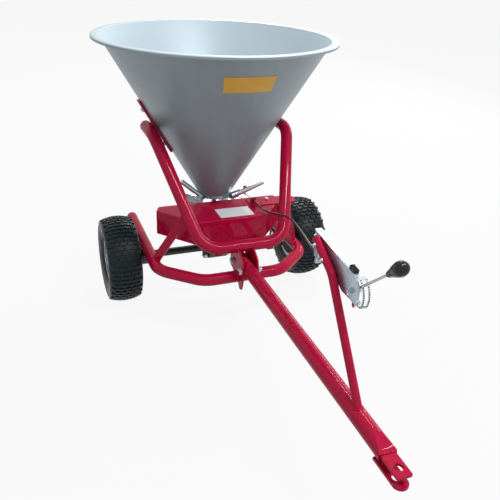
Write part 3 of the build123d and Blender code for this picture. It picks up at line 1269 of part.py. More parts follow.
# Cable clamp: plate on the bracket's rear end with a drilled block for the adjuster
adjuster_mid = Vector(ADJUSTER_X, ahead(CLAMP_REACH), ADJUSTER_Z)
adjuster_run = Vector(0, -cos(radians(ADJUSTER_FALL)), -sin(radians(ADJUSTER_FALL)))
adjuster_plane = Plane(adjuster_mid, x_dir=(1, 0, 0), z_dir=adjuster_run)
CLAMP_IN = WEB_OUT + SEAT
with BuildPart() as cable_clamp:
    with BuildSketch(Plane.YZ.offset(CLAMP_IN)):
        clamp_top = clamp_bolt_spot[1] + BRACKET_BOLT
        clamp_low = ADJUSTER_Z + CLAMP_WIDTH / 4
        with Locations((ahead(CLAMP_REACH), (clamp_top + clamp_low) / 2)):
            RectangleRounded(CLAMP_WIDTH, clamp_top - clamp_low, 4)
        with Locations(clamp_bolt_spot):
            Circle(BRACKET_BOLT / 2 + BOLT_PLAY, mode=Mode.SUBTRACT)
    extrude(amount=CLAMP_SHEET)
    with BuildSketch(adjuster_plane.offset(-CLAMP_BLOCK / 2)):
        with Locations((CLAMP_IN + CLAMP_WIDTH / 2 - ADJUSTER_X, 0)):
            Rectangle(CLAMP_WIDTH, CLAMP_WIDTH)
        Circle(ADJUSTER_OD / 2 + RUN, mode=Mode.SUBTRACT)
    extrude(amount=CLAMP_BLOCK)
keep(cable_clamp, "cable_clamp")

# Cable adjuster: threaded barrel with a nut on each side of the clamp
with BuildPart() as cable_adjuster:
    with BuildSketch(adjuster_plane.offset(-ADJUSTER_LENGTH / 2)):
        Circle(ADJUSTER_OD / 2)
    extrude(amount=ADJUSTER_LENGTH)
    for nut_start in (-CLAMP_BLOCK / 2 - SEAT - ADJUSTER_NUT_WIDTH, CLAMP_BLOCK / 2 + SEAT):
        with BuildSketch(adjuster_plane.offset(nut_start)):
            RegularPolygon(ADJUSTER_NUT / 2, 6, major_radius=False)
        extrude(amount=ADJUSTER_NUT_WIDTH)
keep(cable_adjuster, "cable_adjuster")

# Cable stop: plate bolted to the guard's roof and past its side, with a tab that holds the sheath's end
stop_y = ahead(CABLE_STOP_REACH)
stop_bolt_y = ahead(STOP_BOLT_REACH)
stop_low = GUARD_TOP_Z + SEAT
with BuildPart() as cable_stop:
    with BuildSketch(Plane.XY.offset(stop_low)):
        foot_left = CABLE_STOP_X - STOP_WIDTH / 2
        with BuildLine():
            FilletPolyline(
                (foot_left, ahead(STOP_REAR_REACH)),
                (foot_left, ahead(STOP_FRONT_REACH)),
                (STOP_RIGHT_X, ahead(STOP_FRONT_REACH)),
                (STOP_RIGHT_X, ahead(STOP_REAR_REACH)),
                radius=[0, 0, STOP_CORNER, STOP_CORNER],
                close=True,
            )
        make_face()
        with Locations((STOP_BOLT_X, stop_bolt_y)):
            Circle(STOP_BOLT / 2 + BOLT_PLAY, mode=Mode.SUBTRACT)
    extrude(amount=STOP_SHEET)
    with BuildSketch(Plane((CABLE_STOP_X, stop_y, stop_low))):
        Rectangle(STOP_WIDTH, STOP_SHEET)
    extrude(amount=CABLE_STOP_Z + STOP_WIDTH / 2 - stop_low)
    with BuildSketch(Plane((CABLE_STOP_X, stop_y, CABLE_STOP_Z), z_dir=(0, -1, 0))):
        Circle(FERRULE_OD / 2)
    extrude(amount=FERRULE_LENGTH / 2, both=True)
keep(cable_stop, "cable_stop")

# Bolt that holds the cable stop's plate on the guard
stop_seat = Plane((STOP_BOLT_X, stop_bolt_y, stop_low + STOP_SHEET))
with BuildPart() as cable_stop_bolt:
    add(hex_bolt(stop_seat, STOP_BOLT, STOP_SHEET + SEAT + GUARD_SHEET))
keep(cable_stop_bolt, "cable_stop_bolt")

# Cable sheath: from the ferrule down over the guard, past the upright and forward to the adjuster
adjuster_rear = adjuster_mid - adjuster_run * (ADJUSTER_LENGTH / 2 + SEAT)
ferrule_front = Vector(CABLE_STOP_X, stop_y - FERRULE_LENGTH / 2 - SEAT, CABLE_STOP_Z)
sheath_points = (
    tuple(ferrule_front),
    tuple(ferrule_front - Vector(0, SHEATH_LEAD, 0)),
    (128, ahead(177), 395),
    (139, ahead(215), 392),
    (143, ahead(268), 409),
    (146, ahead(330), 429),
    (148, ahead(392), 443),
    (139, ahead(462), 453),
    (117, ahead(540), 469),
    (91, ahead(624), 490),
    (62, ahead(706), 514),
    (42, ahead(762), 533),
    tuple(adjuster_rear - adjuster_run * SHEATH_LEAD * 1.3),
    tuple(adjuster_rear),
)
sheath_knots = [Vector(*point) for point in sheath_points]
sheath_runs = [after - before for before, after in zip(sheath_knots, sheath_knots[1:])]
sheath_radii = [
    0.45 * min(a.length, b.length) / tan(radians(a.get_angle(b)) / 2)
    for a, b in zip(sheath_runs, sheath_runs[1:])
]
with BuildLine() as sheath_path:
    FilletPolyline(*sheath_points, radius=sheath_radii)
print("sheath runs", [round(run.length, 1) for run in sheath_runs])
print("sheath bend radii", [round(radius, 1) for radius in sheath_radii])
print("sheath length", round(sheath_path.wire().length, 1))
with BuildPart() as cable_sheath:
    with BuildSketch(Plane(sheath_points[0], z_dir=sheath_path.wire() % 0)):
        Circle(SHEATH_OD / 2)
    sweep(path=sheath_path.wire())
keep(cable_sheath, "cable_sheath")


def bare_wire(start, end):
    """A straight length of the inner wire."""
    run = end - start
    with BuildPart() as wire:
        with BuildSketch(Plane(start, z_dir=run)):
            Circle(WIRE_OD / 2)
        extrude(amount=run.length)
    return wire


# Bare wire ends: from the adjuster to the crank's pin, and from the ferrule to the shutter lever's pin
adjuster_front = adjuster_mid + adjuster_run * (ADJUSTER_LENGTH / 2 + SEAT)
crank_spot = Vector(ADJUSTER_X, PIVOT_Y + CRANK_PIN / 2 + SEAT, PIVOT_Z - CRANK)
keep(bare_wire(adjuster_front, crank_spot), "wire_upper")
ferrule_rear = Vector(CABLE_STOP_X, stop_y + FERRULE_LENGTH / 2 + 2 * SEAT, CABLE_STOP_Z)
shutter_pin_front = shutter_pin_top.Y - SHUTTER_PIN / 2 - SEAT
shutter_pin_spot = Vector(shutter_pin_top.X, shutter_pin_front, SHUTTER_PIN_Z + SHUTTER_PIN / 2)
keep(bare_wire(ferrule_rear, shutter_pin_spot), "wire_lower")
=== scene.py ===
import json
from functools import partial
from math import asin, cos, pi, radians, sin, sqrt, tan

import bmesh
import bpy
from mathutils import Matrix, Vector


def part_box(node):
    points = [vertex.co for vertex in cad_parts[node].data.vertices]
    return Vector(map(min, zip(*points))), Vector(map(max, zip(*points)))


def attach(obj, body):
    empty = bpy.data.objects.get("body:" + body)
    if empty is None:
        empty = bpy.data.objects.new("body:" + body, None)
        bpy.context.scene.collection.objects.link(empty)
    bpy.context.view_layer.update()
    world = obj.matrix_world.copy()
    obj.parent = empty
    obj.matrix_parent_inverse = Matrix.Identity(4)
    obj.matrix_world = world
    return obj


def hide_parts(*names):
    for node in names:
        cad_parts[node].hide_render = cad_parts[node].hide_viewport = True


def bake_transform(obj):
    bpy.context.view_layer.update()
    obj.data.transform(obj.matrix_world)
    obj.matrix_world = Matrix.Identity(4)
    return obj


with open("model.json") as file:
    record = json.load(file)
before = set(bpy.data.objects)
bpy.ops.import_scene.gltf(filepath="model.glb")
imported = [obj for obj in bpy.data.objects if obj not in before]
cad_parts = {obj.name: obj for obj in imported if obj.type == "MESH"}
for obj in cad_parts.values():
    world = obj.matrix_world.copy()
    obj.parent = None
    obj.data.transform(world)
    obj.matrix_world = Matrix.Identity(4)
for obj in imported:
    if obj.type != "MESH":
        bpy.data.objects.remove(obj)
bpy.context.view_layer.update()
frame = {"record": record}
scene = bpy.context.scene
scene.view_settings.view_transform = "Standard"


# Camera: where the photographer stood, in front of the hitch, on the machine's left and above it. Its
# place, turn and focal length are fitted to the hopper's rim, the wheels, the frame and the drawbar.
def set_up(name, data):
    """An object put in the scene."""
    made = bpy.data.objects.new(name, data)
    scene.collection.objects.link(made)
    return made


camera_place = Vector((-0.6902, -1.6537, 1.3001))
camera_yaw = radians(-21.857)
camera_pitch = radians(27.175)
camera_roll = radians(2.710)
focal_pixels = 612.316
image_pixels = 500
camera_data = bpy.data.cameras.new("photo_camera")
camera_data.sensor_width = 36.0
camera_data.lens = focal_pixels * camera_data.sensor_width / image_pixels
camera = set_up("photo_camera", camera_data)
camera_stand = Matrix.Translation(camera_place)
for angle, axis in ((camera_yaw, "Z"), (pi / 2 - camera_pitch, "X"), (camera_roll, "Z")):
    camera_stand = camera_stand @ Matrix.Rotation(angle, 4, axis)
camera.matrix_world = camera_stand
scene.camera = camera


# Studio: a pale floor that runs out of the picture, three long softboxes placed where the tubes mirror
# them, two overhead and one at the side, and even light from all round.
def grow(tree, kind, sockets=None, **settings):
    """A node of a tree: its settings, then each socket's value, or the node or output that feeds it."""
    made = tree.nodes.new(kind)
    for setting, value in settings.items():
        setattr(made, setting, value)
    for key, value in (sockets or {}).items():
        if isinstance(value, bpy.types.Node):
            value = value.outputs[0]
        if isinstance(value, bpy.types.NodeSocket):
            tree.links.new(value, made.inputs[key])
        else:
            made.inputs[key].default_value = value
    return made


def maths(tree, operation, *terms, clamp=False):
    """The result of a Math node, with its terms in order."""
    made = grow(tree, "ShaderNodeMath", dict(enumerate(terms)), operation=operation, use_clamp=clamp)
    return made.outputs[0]


def seen_directly(tree):
    """One for what the camera sees, straight or in a mirror, and nothing for the light that it gives."""
    ray = grow(tree, "ShaderNodeLightPath").outputs
    mirrored = maths(tree, "ADD", ray["Is Glossy Ray"], ray["Is Transmission Ray"])
    return maths(tree, "ADD", ray["Is Camera Ray"], mirrored, clamp=True)


def plain_mesh(points, edges=(), faces=()):
    """A mesh from its points and their edges or faces."""
    mesh = bpy.data.meshes.new("plain")
    mesh.from_pydata([tuple(point) for point in points], list(edges), list(faces))
    return mesh


floor_material = bpy.data.materials.new("pale_floor")
floor_material.use_nodes = True
floor_tree = floor_material.node_tree
floor_tree.nodes.clear()
floor_lit = grow(floor_tree, "ShaderNodeBsdfDiffuse", {"Color": (0.55, 0.55, 0.55, 1)})
floor_white = grow(floor_tree, "ShaderNodeEmission", {"Color": (1, 1, 1, 1), "Strength": 1.0})
floor_share = maths(floor_tree, "MULTIPLY", seen_directly(floor_tree), 0.9)
floor_mix = grow(floor_tree, "ShaderNodeMixShader", {0: floor_share, 1: floor_lit, 2: floor_white})
grow(floor_tree, "ShaderNodeOutputMaterial", {"Surface": floor_mix})
floor_mesh = plain_mesh([(-40, -40, 0), (40, -40, 0), (40, 40, 0), (-40, 40, 0)], faces=[(0, 1, 2, 3)])
floor_mesh.materials.append(floor_material)
set_up("floor", floor_mesh)
lit_level = 0.52
seen_level = 0.96
scene.world = bpy.data.worlds.new("studio")
scene.world.use_nodes = True
world_tree = scene.world.node_tree
world_light = world_tree.nodes["Background"].inputs
world_light["Color"].default_value = (1, 1, 1, 1)
world_level = maths(world_tree, "MULTIPLY_ADD", seen_directly(world_tree), seen_level - lit_level, lit_level)
world_tree.links.new(world_level, world_light["Strength"])
for name, place, width, depth, lean, power in (
    ("across_strip", (1.0, -1.4, 3.0), 2.2, 0.22, 0, 60),
    ("along_strip", (1.2, 2.6, 3.0), 0.28, 3.4, 0, 84),
    ("side_strip", (3.4, 2.9, 1.4), 0.22, 3.4, 72, 40),
):
    lamp_data = bpy.data.lights.new(name, "AREA")
    lamp_data.shape = "RECTANGLE"
    lamp_data.size = width
    lamp_data.size_y = depth
    lamp_data.energy = power
    lamp = set_up(name, lamp_data)
    lamp.location = place
    lamp.rotation_euler = (0, radians(lean), 0)


# Lower frame and hoop: steel tubes bent cold and powder-coated red. The lower one lies open at the
# rear over the axle; the hoop leans back from the drawbar and its ends hold the hopper.
joint_places = {joint["name"]: Vector(joint["pos_m"]) for joint in frame["record"]["behaviour"]["joints"]}
axle_y = joint_places["axle_turn"].y
axle_z = joint_places["axle_turn"].z


def ahead(reach):
    """The Y of a point this far in front of the axle."""
    return axle_y - reach


def new_tree(name, kind, inputs, outputs):
    """A node tree with named inputs and outputs: the tree, what comes in and what goes out."""
    tree = bpy.data.node_groups.new(name, kind)
    for way, sockets in (("INPUT", inputs), ("OUTPUT", outputs)):
        for label, socket in sockets.items():
            tree.interface.new_socket(name=label, in_out=way, socket_type=f"NodeSocket{socket}")
    return tree, tree.nodes.new("NodeGroupInput").outputs, tree.nodes.new("NodeGroupOutput").inputs


def blended(tree, share, first, second):
    """The colour that a Mix node makes of two others."""
    return grow(tree, "ShaderNodeMix", {0: share, 6: first, 7: second}, data_type="RGBA").outputs[2]


def ramp(tree, value, low, high):
    """How far a value has come from low to high, from nothing to one."""
    made = grow(tree, "ShaderNodeMapRange", {"Value": value, "From Min": low, "From Max": high})
    return made.outputs[0]


def mottle(tree, scale, detail, spot=None, **more):
    """Noise at the piece's own coordinates, or at a spot worked out from them."""
    if spot is None:
        spot = grow(tree, "ShaderNodeTexCoord").outputs["Object"]
    noise = grow(tree, "ShaderNodeTexNoise", {"Vector": spot, "Scale": scale, "Detail": detail, **more})
    return noise.outputs[0]


# a coat or skin that isn't quite even: slow patches in colour and gloss, and a fine grain in its height
uneven_coat, given, result = new_tree(
    "uneven_coat",
    "ShaderNodeTree",
    {"Colour": "Color", "Deep Colour": "Color", "Roughness": "Float", "Spread": "Float",
     "Patch Scale": "Float", "Grain Scale": "Float"},
    {"Colour": "Color", "Roughness": "Float", "Height": "Float"},
)
patch = ramp(uneven_coat, mottle(uneven_coat, given["Patch Scale"], 5.0), 0.3, 0.7)
grain = mottle(uneven_coat, given["Grain Scale"], 2.0)
speckle = maths(uneven_coat, "SUBTRACT", grain, patch)
gloss = maths(uneven_coat, "MULTIPLY_ADD", speckle, given["Spread"], given["Roughness"])
patched = blended(uneven_coat, patch, given["Deep Colour"], given["Colour"])
for label, made in (("Colour", patched), ("Roughness", gloss), ("Height", grain)):
    uneven_coat.links.new(made, result[label])

# edges that hands and tools have rubbed, and on the red coat partly a painted highlight: a broken line where
# the surface is sharpest
worn_and_highlit_edges, given, result = new_tree(
    "worn_and_highlit_edges", "ShaderNodeTree", {"Sharpness": "Float", "Break Up": "Float"}, {"Mask": "Float"}
)
edge = grow(worn_and_highlit_edges, "ShaderNodeNewGeometry").outputs["Pointiness"]
sharpest = maths(worn_and_highlit_edges, "ADD", given["Sharpness"], 0.06)
ridge = ramp(worn_and_highlit_edges, edge, given["Sharpness"], sharpest)
scuff = ramp(worn_and_highlit_edges, mottle(worn_and_highlit_edges, given["Break Up"], 4.0), 0.42, 0.62)
worn_and_highlit_edges.links.new(maths(worn_and_highlit_edges, "MULTIPLY", ridge, scuff), result["Mask"])


def coated(name, slot, colour, deep, roughness, spread, patches, grains, bump, edge_colour=None, **plain):
    """A finish named with one of the record's slots, which is not used: an uneven coat, with its edges turned
    to a colour if given.
    """
    material = bpy.data.materials.new(name)
    material.use_nodes = True
    tree = material.node_tree
    shader = tree.nodes["Principled BSDF"].inputs
    coat = grow(tree, "ShaderNodeGroup", {
        "Colour": (*colour, 1), "Deep Colour": (*deep, 1), "Roughness": roughness, "Spread": spread,
        "Patch Scale": patches, "Grain Scale": grains,
    }, node_tree=uneven_coat).outputs
    skin = coat["Colour"]
    if edge_colour:
        wear_and_highlight = grow(tree, "ShaderNodeGroup", {"Sharpness": 0.53, "Break Up": 90.0}, node_tree=worn_and_highlit_edges)
        skin = blended(tree, wear_and_highlight.outputs["Mask"], skin, (*edge_colour, 1))
    relief = grow(tree, "ShaderNodeBump", {"Height": coat["Height"], "Distance": bump, "Strength": 1.0})
    tree.links.new(skin, shader["Base Color"])
    tree.links.new(coat["Roughness"], shader["Roughness"])
    tree.links.new(relief.outputs[0], shader["Normal"])
    for socket, value in plain.items():
        shader[socket.replace("_", " ")].default_value = value
    return material


# the red coat's edges turn a lighter red: partly thin paint on sharp edges, partly a painted highlight where
# they catch the light
red_coat = coated(
    "red_coat", "frame_red", (0.44, 0.0012, 0.042), (0.42, 0.0011, 0.039), roughness=0.36, spread=0.08,
    patches=7.0, grains=180.0, bump=0.000008, edge_colour=(0.5, 0.02, 0.06), Specular_IOR_Level=0.02,
    Coat_Weight=0.28, Coat_Roughness=0.06,
)


def shape_tree(name, sizes):
    """A Geometry Nodes tree with sizes and a finish: the tree, what comes in, its grow and its end."""
    inputs = {"Geometry": "Geometry", **sizes, "Finish": "Material"}
    tree, given, result = new_tree(name, "GeometryNodeTree", inputs, {"Geometry": "Geometry"})

    def end(kind, sockets):
        """The tree's last shape, with its instances made real and its finish set."""
        real = grow(tree, "GeometryNodeRealizeInstances", {"Geometry": grow(tree, kind, sockets)})
        finished = grow(tree, "GeometryNodeSetMaterial", {"Geometry": real, "Material": given["Finish"]})
        tree.links.new(finished.outputs[0], result["Geometry"])

    return tree, given, partial(grow, tree), end


# a tube that is bent round a route's corners
bent_tube, given, tube_node, end_tube = shape_tree("bent_tube", {
    "Bend Radius": "Float", "Tube Radius": "Float", "Sides": "Int",
})
route = tube_node("GeometryNodeMeshToCurve", {"Mesh": given["Geometry"]})
bends = tube_node("GeometryNodeFilletCurve", {
    "Curve": route, "Count": 14, "Radius": given["Bend Radius"], "Limit Radius": True,
}, mode="POLY")
section = tube_node("GeometryNodeCurvePrimitiveCircle", {
    "Resolution": given["Sides"], "Radius": given["Tube Radius"],
})
end_tube("GeometryNodeCurveToMesh", {"Curve": bends, "Profile Curve": section})


def worked(mesh, kind, sizes=None, **settings):
    """The mesh that a modifier makes of another, with the modifier's settings and its tree's named sizes."""
    holder = set_up("work", mesh)
    modifier = holder.modifiers.new("work", kind)
    for setting, value in settings.items():
        setattr(modifier, setting, value)
    if sizes:
        for item in modifier.node_group.interface.items_tree:
            if item.name in sizes:
                modifier[item.identifier] = sizes[item.name]
    made = bpy.data.meshes.new_from_object(holder.evaluated_get(bpy.context.evaluated_depsgraph_get()))
    bpy.data.objects.remove(holder)
    return made


def grown(tree, seed, finish, **sizes):
    """The plain mesh that a tree grows from a seed mesh, with its finish and its named sizes."""
    named = {name.replace("_", " "): value for name, value in sizes.items()}
    return worked(seed, "NODES", {**named, "Finish": finish}, node_group=tree)


def line_mesh(*routes):
    """Routes of points as the edges of one mesh."""
    points = []
    edges = []
    for route in routes:
        edges += [(len(points) + i, len(points) + i + 1) for i in range(len(route) - 1)]
        points += route
    return plain_mesh(points, edges)


def place_piece(name, mesh, finish, *nodes, body="frame", sharp=35):
    """Put a finished mesh in the scene as a piece of a body, in place of the CAD nodes that it stands for."""
    mesh.materials.clear()
    mesh.materials.append(finish)
    if sharp:
        mesh.shade_smooth()
        mesh.set_sharp_from_angle(angle=radians(sharp))
    piece = set_up(name, mesh)
    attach(piece, body)
    if nodes:
        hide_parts(*nodes)


tube_radius = 0.0212
tube_wall = 0.0025
front_reach = 0.3545
lower_z = 0.221
lower_side_half = 0.2813
lower_front_half = 0.1456
lower_left = [
    (-lower_side_half, axle_y + 0.2485, lower_z),
    (-lower_side_half, ahead(0.2343), lower_z),
    (-lower_front_half, ahead(front_reach), lower_z),
]
hoop_z = 0.3402
hoop_half = 0.1486
hoop_top_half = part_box("frame_hoop")[1][0] - tube_radius
hoop_top_reach = 0.094
hoop_top_z = 0.668
hoop_left = [
    (-hoop_top_half, axle_y + 0.042, hoop_top_z),
    (-hoop_top_half, ahead(hoop_top_reach), hoop_top_z),
    (-hoop_half, ahead(front_reach), hoop_z),
]
for node, left_half, bend in (("lower_frame", lower_left, 0.095), ("frame_hoop", hoop_left, 0.085)):
    tube_route = left_half + [(-x, y, z) for x, y, z in reversed(left_half)]
    tube_skin = grown(
        bent_tube, line_mesh(tube_route), red_coat, Bend_Radius=bend, Tube_Radius=tube_radius, Sides=40
    )
    tube_mesh = worked(tube_skin, "SOLIDIFY", thickness=tube_wall, offset=-1.0)
    place_piece(f"{node}_tube", tube_mesh, red_coat, node)


# Tube plugs: caps of moulded black plastic with a ribbed shank, pushed into the four open tube ends
# to keep water and dirt out.
def softened(node, width, steps=2, left_out=None):
    """A copy of a CAD node's mesh with its triangles merged and its sharp edges rounded off."""
    form = bmesh.new()
    form.from_mesh(bpy.data.objects[node].data)
    bmesh.ops.remove_doubles(form, verts=form.verts, dist=0.00001)
    if left_out:
        bmesh.ops.delete(form, geom=[v for v in form.verts if left_out(v.co)], context="VERTS")
        bmesh.ops.holes_fill(form, edges=[edge for edge in form.edges if edge.is_boundary])
    bmesh.ops.dissolve_limit(form, angle_limit=radians(0.5), verts=form.verts, edges=form.edges)
    form.verts.index_update()
    faces = [[v.index for v in face.verts] for face in form.faces]
    mesh = plain_mesh([v.co for v in form.verts], faces=faces)
    form.free()
    mesh.shade_smooth()
    return worked(
        mesh, "BEVEL", width=width, segments=steps, limit_method="ANGLE", angle_limit=radians(35),
        harden_normals=True,
    )


def place_soft(name, node, width, finish, body="frame", steps=2):
    """Put a CAD node's own shape, softened, in the scene in its place."""
    place_piece(name, softened(node, width, steps), finish, node, body=body, sharp=None)


black_plastic = coated(
    "black_plastic", "black_plastic", (0.012, 0.012, 0.013), (0.008, 0.008, 0.009), roughness=0.16,
    spread=0.06, patches=25.0, grains=600.0, bump=0.000006, Specular_IOR_Level=0.30,
)
place_soft("end_plugs", "tube_plugs", 0.0008, black_plastic)


# Braces, drawbar ears, hopper side plates and guard stays: flat steel, sheared and drilled,
# welded to the tubes and coated with them.
flat_bars = {
    "brace_left": 0.0008, "brace_right": 0.0008, "ear_plate_left": 0.0009, "ear_plate_right": 0.0009,
    "hopper_side_plate_left": 0.001, "hopper_side_plate_right": 0.001, "guard_stays": 0.0006,
}
for node, rounding in flat_bars.items():
    place_soft(f"{node}_bar", node, rounding, red_coat)


# Weld beads: where the flat bars, the mast and the hitch meet the tubes, coated red with them.
# Each is a run of overlapping ripples along the line where the two pieces meet.
weld_bead, given, bead_node, end_bead = shape_tree("weld_bead", {"Bead Radius": "Float", "Ripple": "Float"})
seam = bead_node("GeometryNodeMeshToCurve", {"Mesh": given["Geometry"]})
ripples = bead_node("GeometryNodeResampleCurve", {"Curve": seam, "Length": given["Ripple"]}, mode="LENGTH")
drop = bead_node("GeometryNodeMeshUVSphere", {"Segments": 8, "Rings": 5, "Radius": given["Bead Radius"]})
end_bead("GeometryNodeInstanceOnPoints", {"Points": ripples, "Instance": drop})
bead_radius = 0.0022


def place_welds(name, *seams):
    """Put beads along the seams in the scene as one piece of the frame."""
    beads = grown(weld_bead, line_mesh(*seams), red_coat, Bead_Radius=bead_radius, Ripple=0.0016)
    place_piece(name, beads, red_coat, sharp=60)


def meeting_line(outline, way, axis_point, axis_way, radius):
    """Where the lines of a bar's outline, going this way, come out of a round tube's surface."""
    way = Vector(way).normalized()
    axis_way = Vector(axis_way).normalized()
    crossing = way - axis_way * way.dot(axis_way)
    met = []
    for point in outline:
        offset = point - Vector(axis_point)
        offset -= axis_way * offset.dot(axis_way)
        a = crossing.length_squared
        b = offset.dot(crossing)
        c = offset.length_squared - radius**2
        met.append(point + way * ((-b + sqrt(max(b * b - a * c, 0))) / a))
    return met


brace_share = 0.319
brace_foot_reach = 0.172
brace_half_width = 0.015
brace_half_thick = 0.004
plate_lean = radians(30.45)
plate_weld_half = 0.0095
plate_weld_reach = 0.024
ear_in = 0.0243
ear_out = 0.0303
ear_weld_radius = tube_radius + 0.001
frame_seams = []
for side in (-1, 1):
    leg_foot = Vector((side * hoop_half, ahead(front_reach), hoop_z))
    leg_top = Vector((side * hoop_top_half, ahead(hoop_top_reach), hoop_top_z))
    brace_top = leg_foot + (leg_top - leg_foot) * brace_share
    brace_foot = Vector((side * lower_side_half, ahead(brace_foot_reach), lower_z))
    brace_way = (brace_foot - brace_top).normalized()
    across = Vector((1, side, 0))
    across = (across - brace_way * across.dot(brace_way)).normalized() * brace_half_width
    through = brace_way.cross(across).normalized() * brace_half_thick
    corners = [-across - through, across - through, across + through, through - across]
    outline = [corners[i].lerp(corners[(i + 1) % 4], step / 8) for i in range(4) for step in range(8)]
    for end, way, bar_point, bar_way in (
        (brace_top, brace_way, leg_foot, leg_top - leg_foot), (brace_foot, -brace_way, brace_foot, (0, 1, 0)),
    ):
        bar_end = [end + point for point in outline]
        frame_seams.append(meeting_line(bar_end, way, bar_point, bar_way, tube_radius))
    plate_way = Vector((-side * sin(plate_lean), 0, -cos(plate_lean)))
    plate_out = Vector((side * cos(plate_lean), 0, -sin(plate_lean)))
    contact = Vector((side * hoop_top_half, axle_y, hoop_top_z)) - plate_out * (tube_radius - bead_radius)
    for edge_side in (-1, 1):
        weld_middle = contact + plate_way * plate_weld_half * edge_side
        frame_seams.append([weld_middle + Vector((0, plate_weld_reach * end, 0)) for end in (-1, 1)])
    for ear_face in (ear_in, ear_out):
        for bar_z, start, end in ((hoop_z, 175, 365), (lower_z, -20, 165)):
            angles = [radians(start + (end - start) * i / 16) for i in range(17)]
            frame_seams.append([
                (side * ear_face, ahead(front_reach) + ear_weld_radius * cos(angle),
                 bar_z + ear_weld_radius * sin(angle))
                for angle in angles
            ])
place_welds("frame_welds", *frame_seams)


# Drawbar and hitch: a straight steel tube, coated red, pressed down at the front onto the upper hitch
# plate, with a longer round-ended plate welded under it. Two cross bolts hold its rear end.
def lofted(rings, around=True, first=False, last=False):
    """A mesh skinned over rings of points, closed round them or open, with its end rings filled or not."""
    size = len(rings[0])
    points = [point for ring in rings for point in ring]
    sides = [(i, (i + 1) % size) for i in range(size if around else size - 1)]
    faces = [
        (low + i, low + j, low + size + j, low + size + i)
        for low in range(0, len(points) - size, size) for i, j in sides
    ]
    if first:
        faces.append(range(size - 1, -1, -1))
    if last:
        faces.append(range(len(points) - size, len(points)))
    return plain_mesh(points, faces=[tuple(face) for face in faces])


drawbar_low, drawbar_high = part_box("drawbar_tube")
drawbar_radius = drawbar_high[0]
drawbar_z = drawbar_low[2] + drawbar_radius
drawbar_wall = 0.003
tube_end_y = drawbar_low[1]
upper_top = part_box("hitch_upper")[1][2]
lower_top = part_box("hitch_lower")[1][2]
hitch_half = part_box("hitch_upper")[1][0]
press_length = 0.075
press_steps = 16
press_dish = 0.0022
press_spread = 0.05
press_gap = 0.0002
press_rise = upper_top + press_gap + drawbar_wall - drawbar_z
press_half = sqrt(drawbar_radius**2 - press_rise**2)
arc_steps = 72
flat_steps = 12
presses = [step / press_steps for step in range(press_steps + 1)]
stations = [(press, tube_end_y + press_length * (1 - press)) for press in presses]
drawbar_rings = []
for press, ring_y in [(0.0, drawbar_high[1]), *stations]:
    half = press_half * press
    top = sqrt(drawbar_radius**2 - half**2)
    crease = asin(top / drawbar_radius)
    turns = [crease - (pi + 2 * crease) * i / arc_steps for i in range(arc_steps + 1)]
    ring = [(drawbar_radius * cos(turn), drawbar_radius * sin(turn)) for turn in turns]
    shares = [2 * i / flat_steps - 1 for i in range(1, flat_steps)]
    ring += [(half * share, top - press_dish * press * (1 - share**2)) for share in shares]
    spread = 1 + press_spread * press**2
    drawbar_rings.insert(0, [(x * spread, ring_y, drawbar_z + z) for x, z in ring])
drawbar_skin = worked(lofted(drawbar_rings), "WELD", merge_threshold=0.000001)
drawbar_mesh = worked(drawbar_skin, "SOLIDIFY", thickness=drawbar_wall, offset=-1.0)
place_piece("drawbar", drawbar_mesh, red_coat, "drawbar_tube", sharp=24)
for node in ("hitch_upper", "hitch_lower"):
    place_soft(f"{node}_plate", node, 0.0012, red_coat, steps=3)
side_seam_half = 0.009
side_seam_length = 0.026
front_seam_half = 0.012
seam_rise = 0.001
hitch_seams = [
    [(side * hitch_half, tube_end_y, upper_top + seam_rise) for side in (-1, 1)],
    [(side * front_seam_half, tube_end_y - seam_rise, lower_top + seam_rise) for side in (-1, 1)],
]
for side in (-1, 1):
    seam_ends = (tube_end_y, tube_end_y + side_seam_length)
    hitch_seams.append([(side * side_seam_half, y, lower_top + 1.5 * seam_rise) for y in seam_ends])
place_welds("hitch_welds", *hitch_seams)


# Bolts: zinc-plated hexagon bolts with a washer under each head and nut.
# They hold the drawbar, the hopper, the gearbox, the axle's housings, the bracket and the cable stop.
zinc_plate = coated(
    "zinc_plate", "zinc_steel", (0.44, 0.53, 0.58), (0.39, 0.47, 0.52), roughness=0.30, spread=0.06,
    patches=30.0, grains=900.0, bump=0.000004, Metallic=0.9,
)
# a bolt's head in units of its thread: half its width over flats, its height and its chamfered top
hex_flat = 0.85
hex_height = 0.65
hex_top = 0.80
hex_turns = [radians(turn) for turn in range(0, 360, 15)]
hex_radii = [hex_flat / cos(turn % radians(60) - radians(30)) for turn in hex_turns]
hex_levels = [
    [(radius, 0.0) for radius in hex_radii],
    [(radius, hex_height - (radius - hex_top) * tan(radians(28))) for radius in hex_radii],
    [(hex_top, hex_height) for radius in hex_radii],
]
hex_mesh = lofted([
    [(radius * cos(turn), radius * sin(turn), z) for turn, (radius, z) in zip(hex_turns, level)]
    for level in hex_levels
], first=True, last=True)
hex_shape = bpy.data.objects.new("hexagon", hex_mesh)

through_bolts, given, bolt_node, end_bolts = shape_tree("through_bolts", {
    "Hexagon": "Object", "Size": "Float", "Grip": "Float", "Nut": "Bool",
})
bolt_maths = partial(maths, through_bolts)


def xyz(tree, x=0.0, y=0.0, z=0.0):
    """A vector from its three parts."""
    return grow(tree, "ShaderNodeCombineXYZ", {"X": x, "Y": y, "Z": z}).outputs[0]


def lifted(shape, height, size=1.0, turn=(0, 0, 0)):
    """A shape moved along the bolt, scaled and turned."""
    return bolt_node("GeometryNodeTransform", {
        "Geometry": shape, "Translation": xyz(through_bolts, z=height), "Rotation": turn,
        "Scale": xyz(through_bolts, size, size, size),
    })


def gathered(*shapes):
    """Shapes of the bolt joined as one."""
    whole = bolt_node("GeometryNodeJoinGeometry")
    for shape in shapes:
        through_bolts.links.new(shape.outputs[0], whole.inputs[0])
    return whole


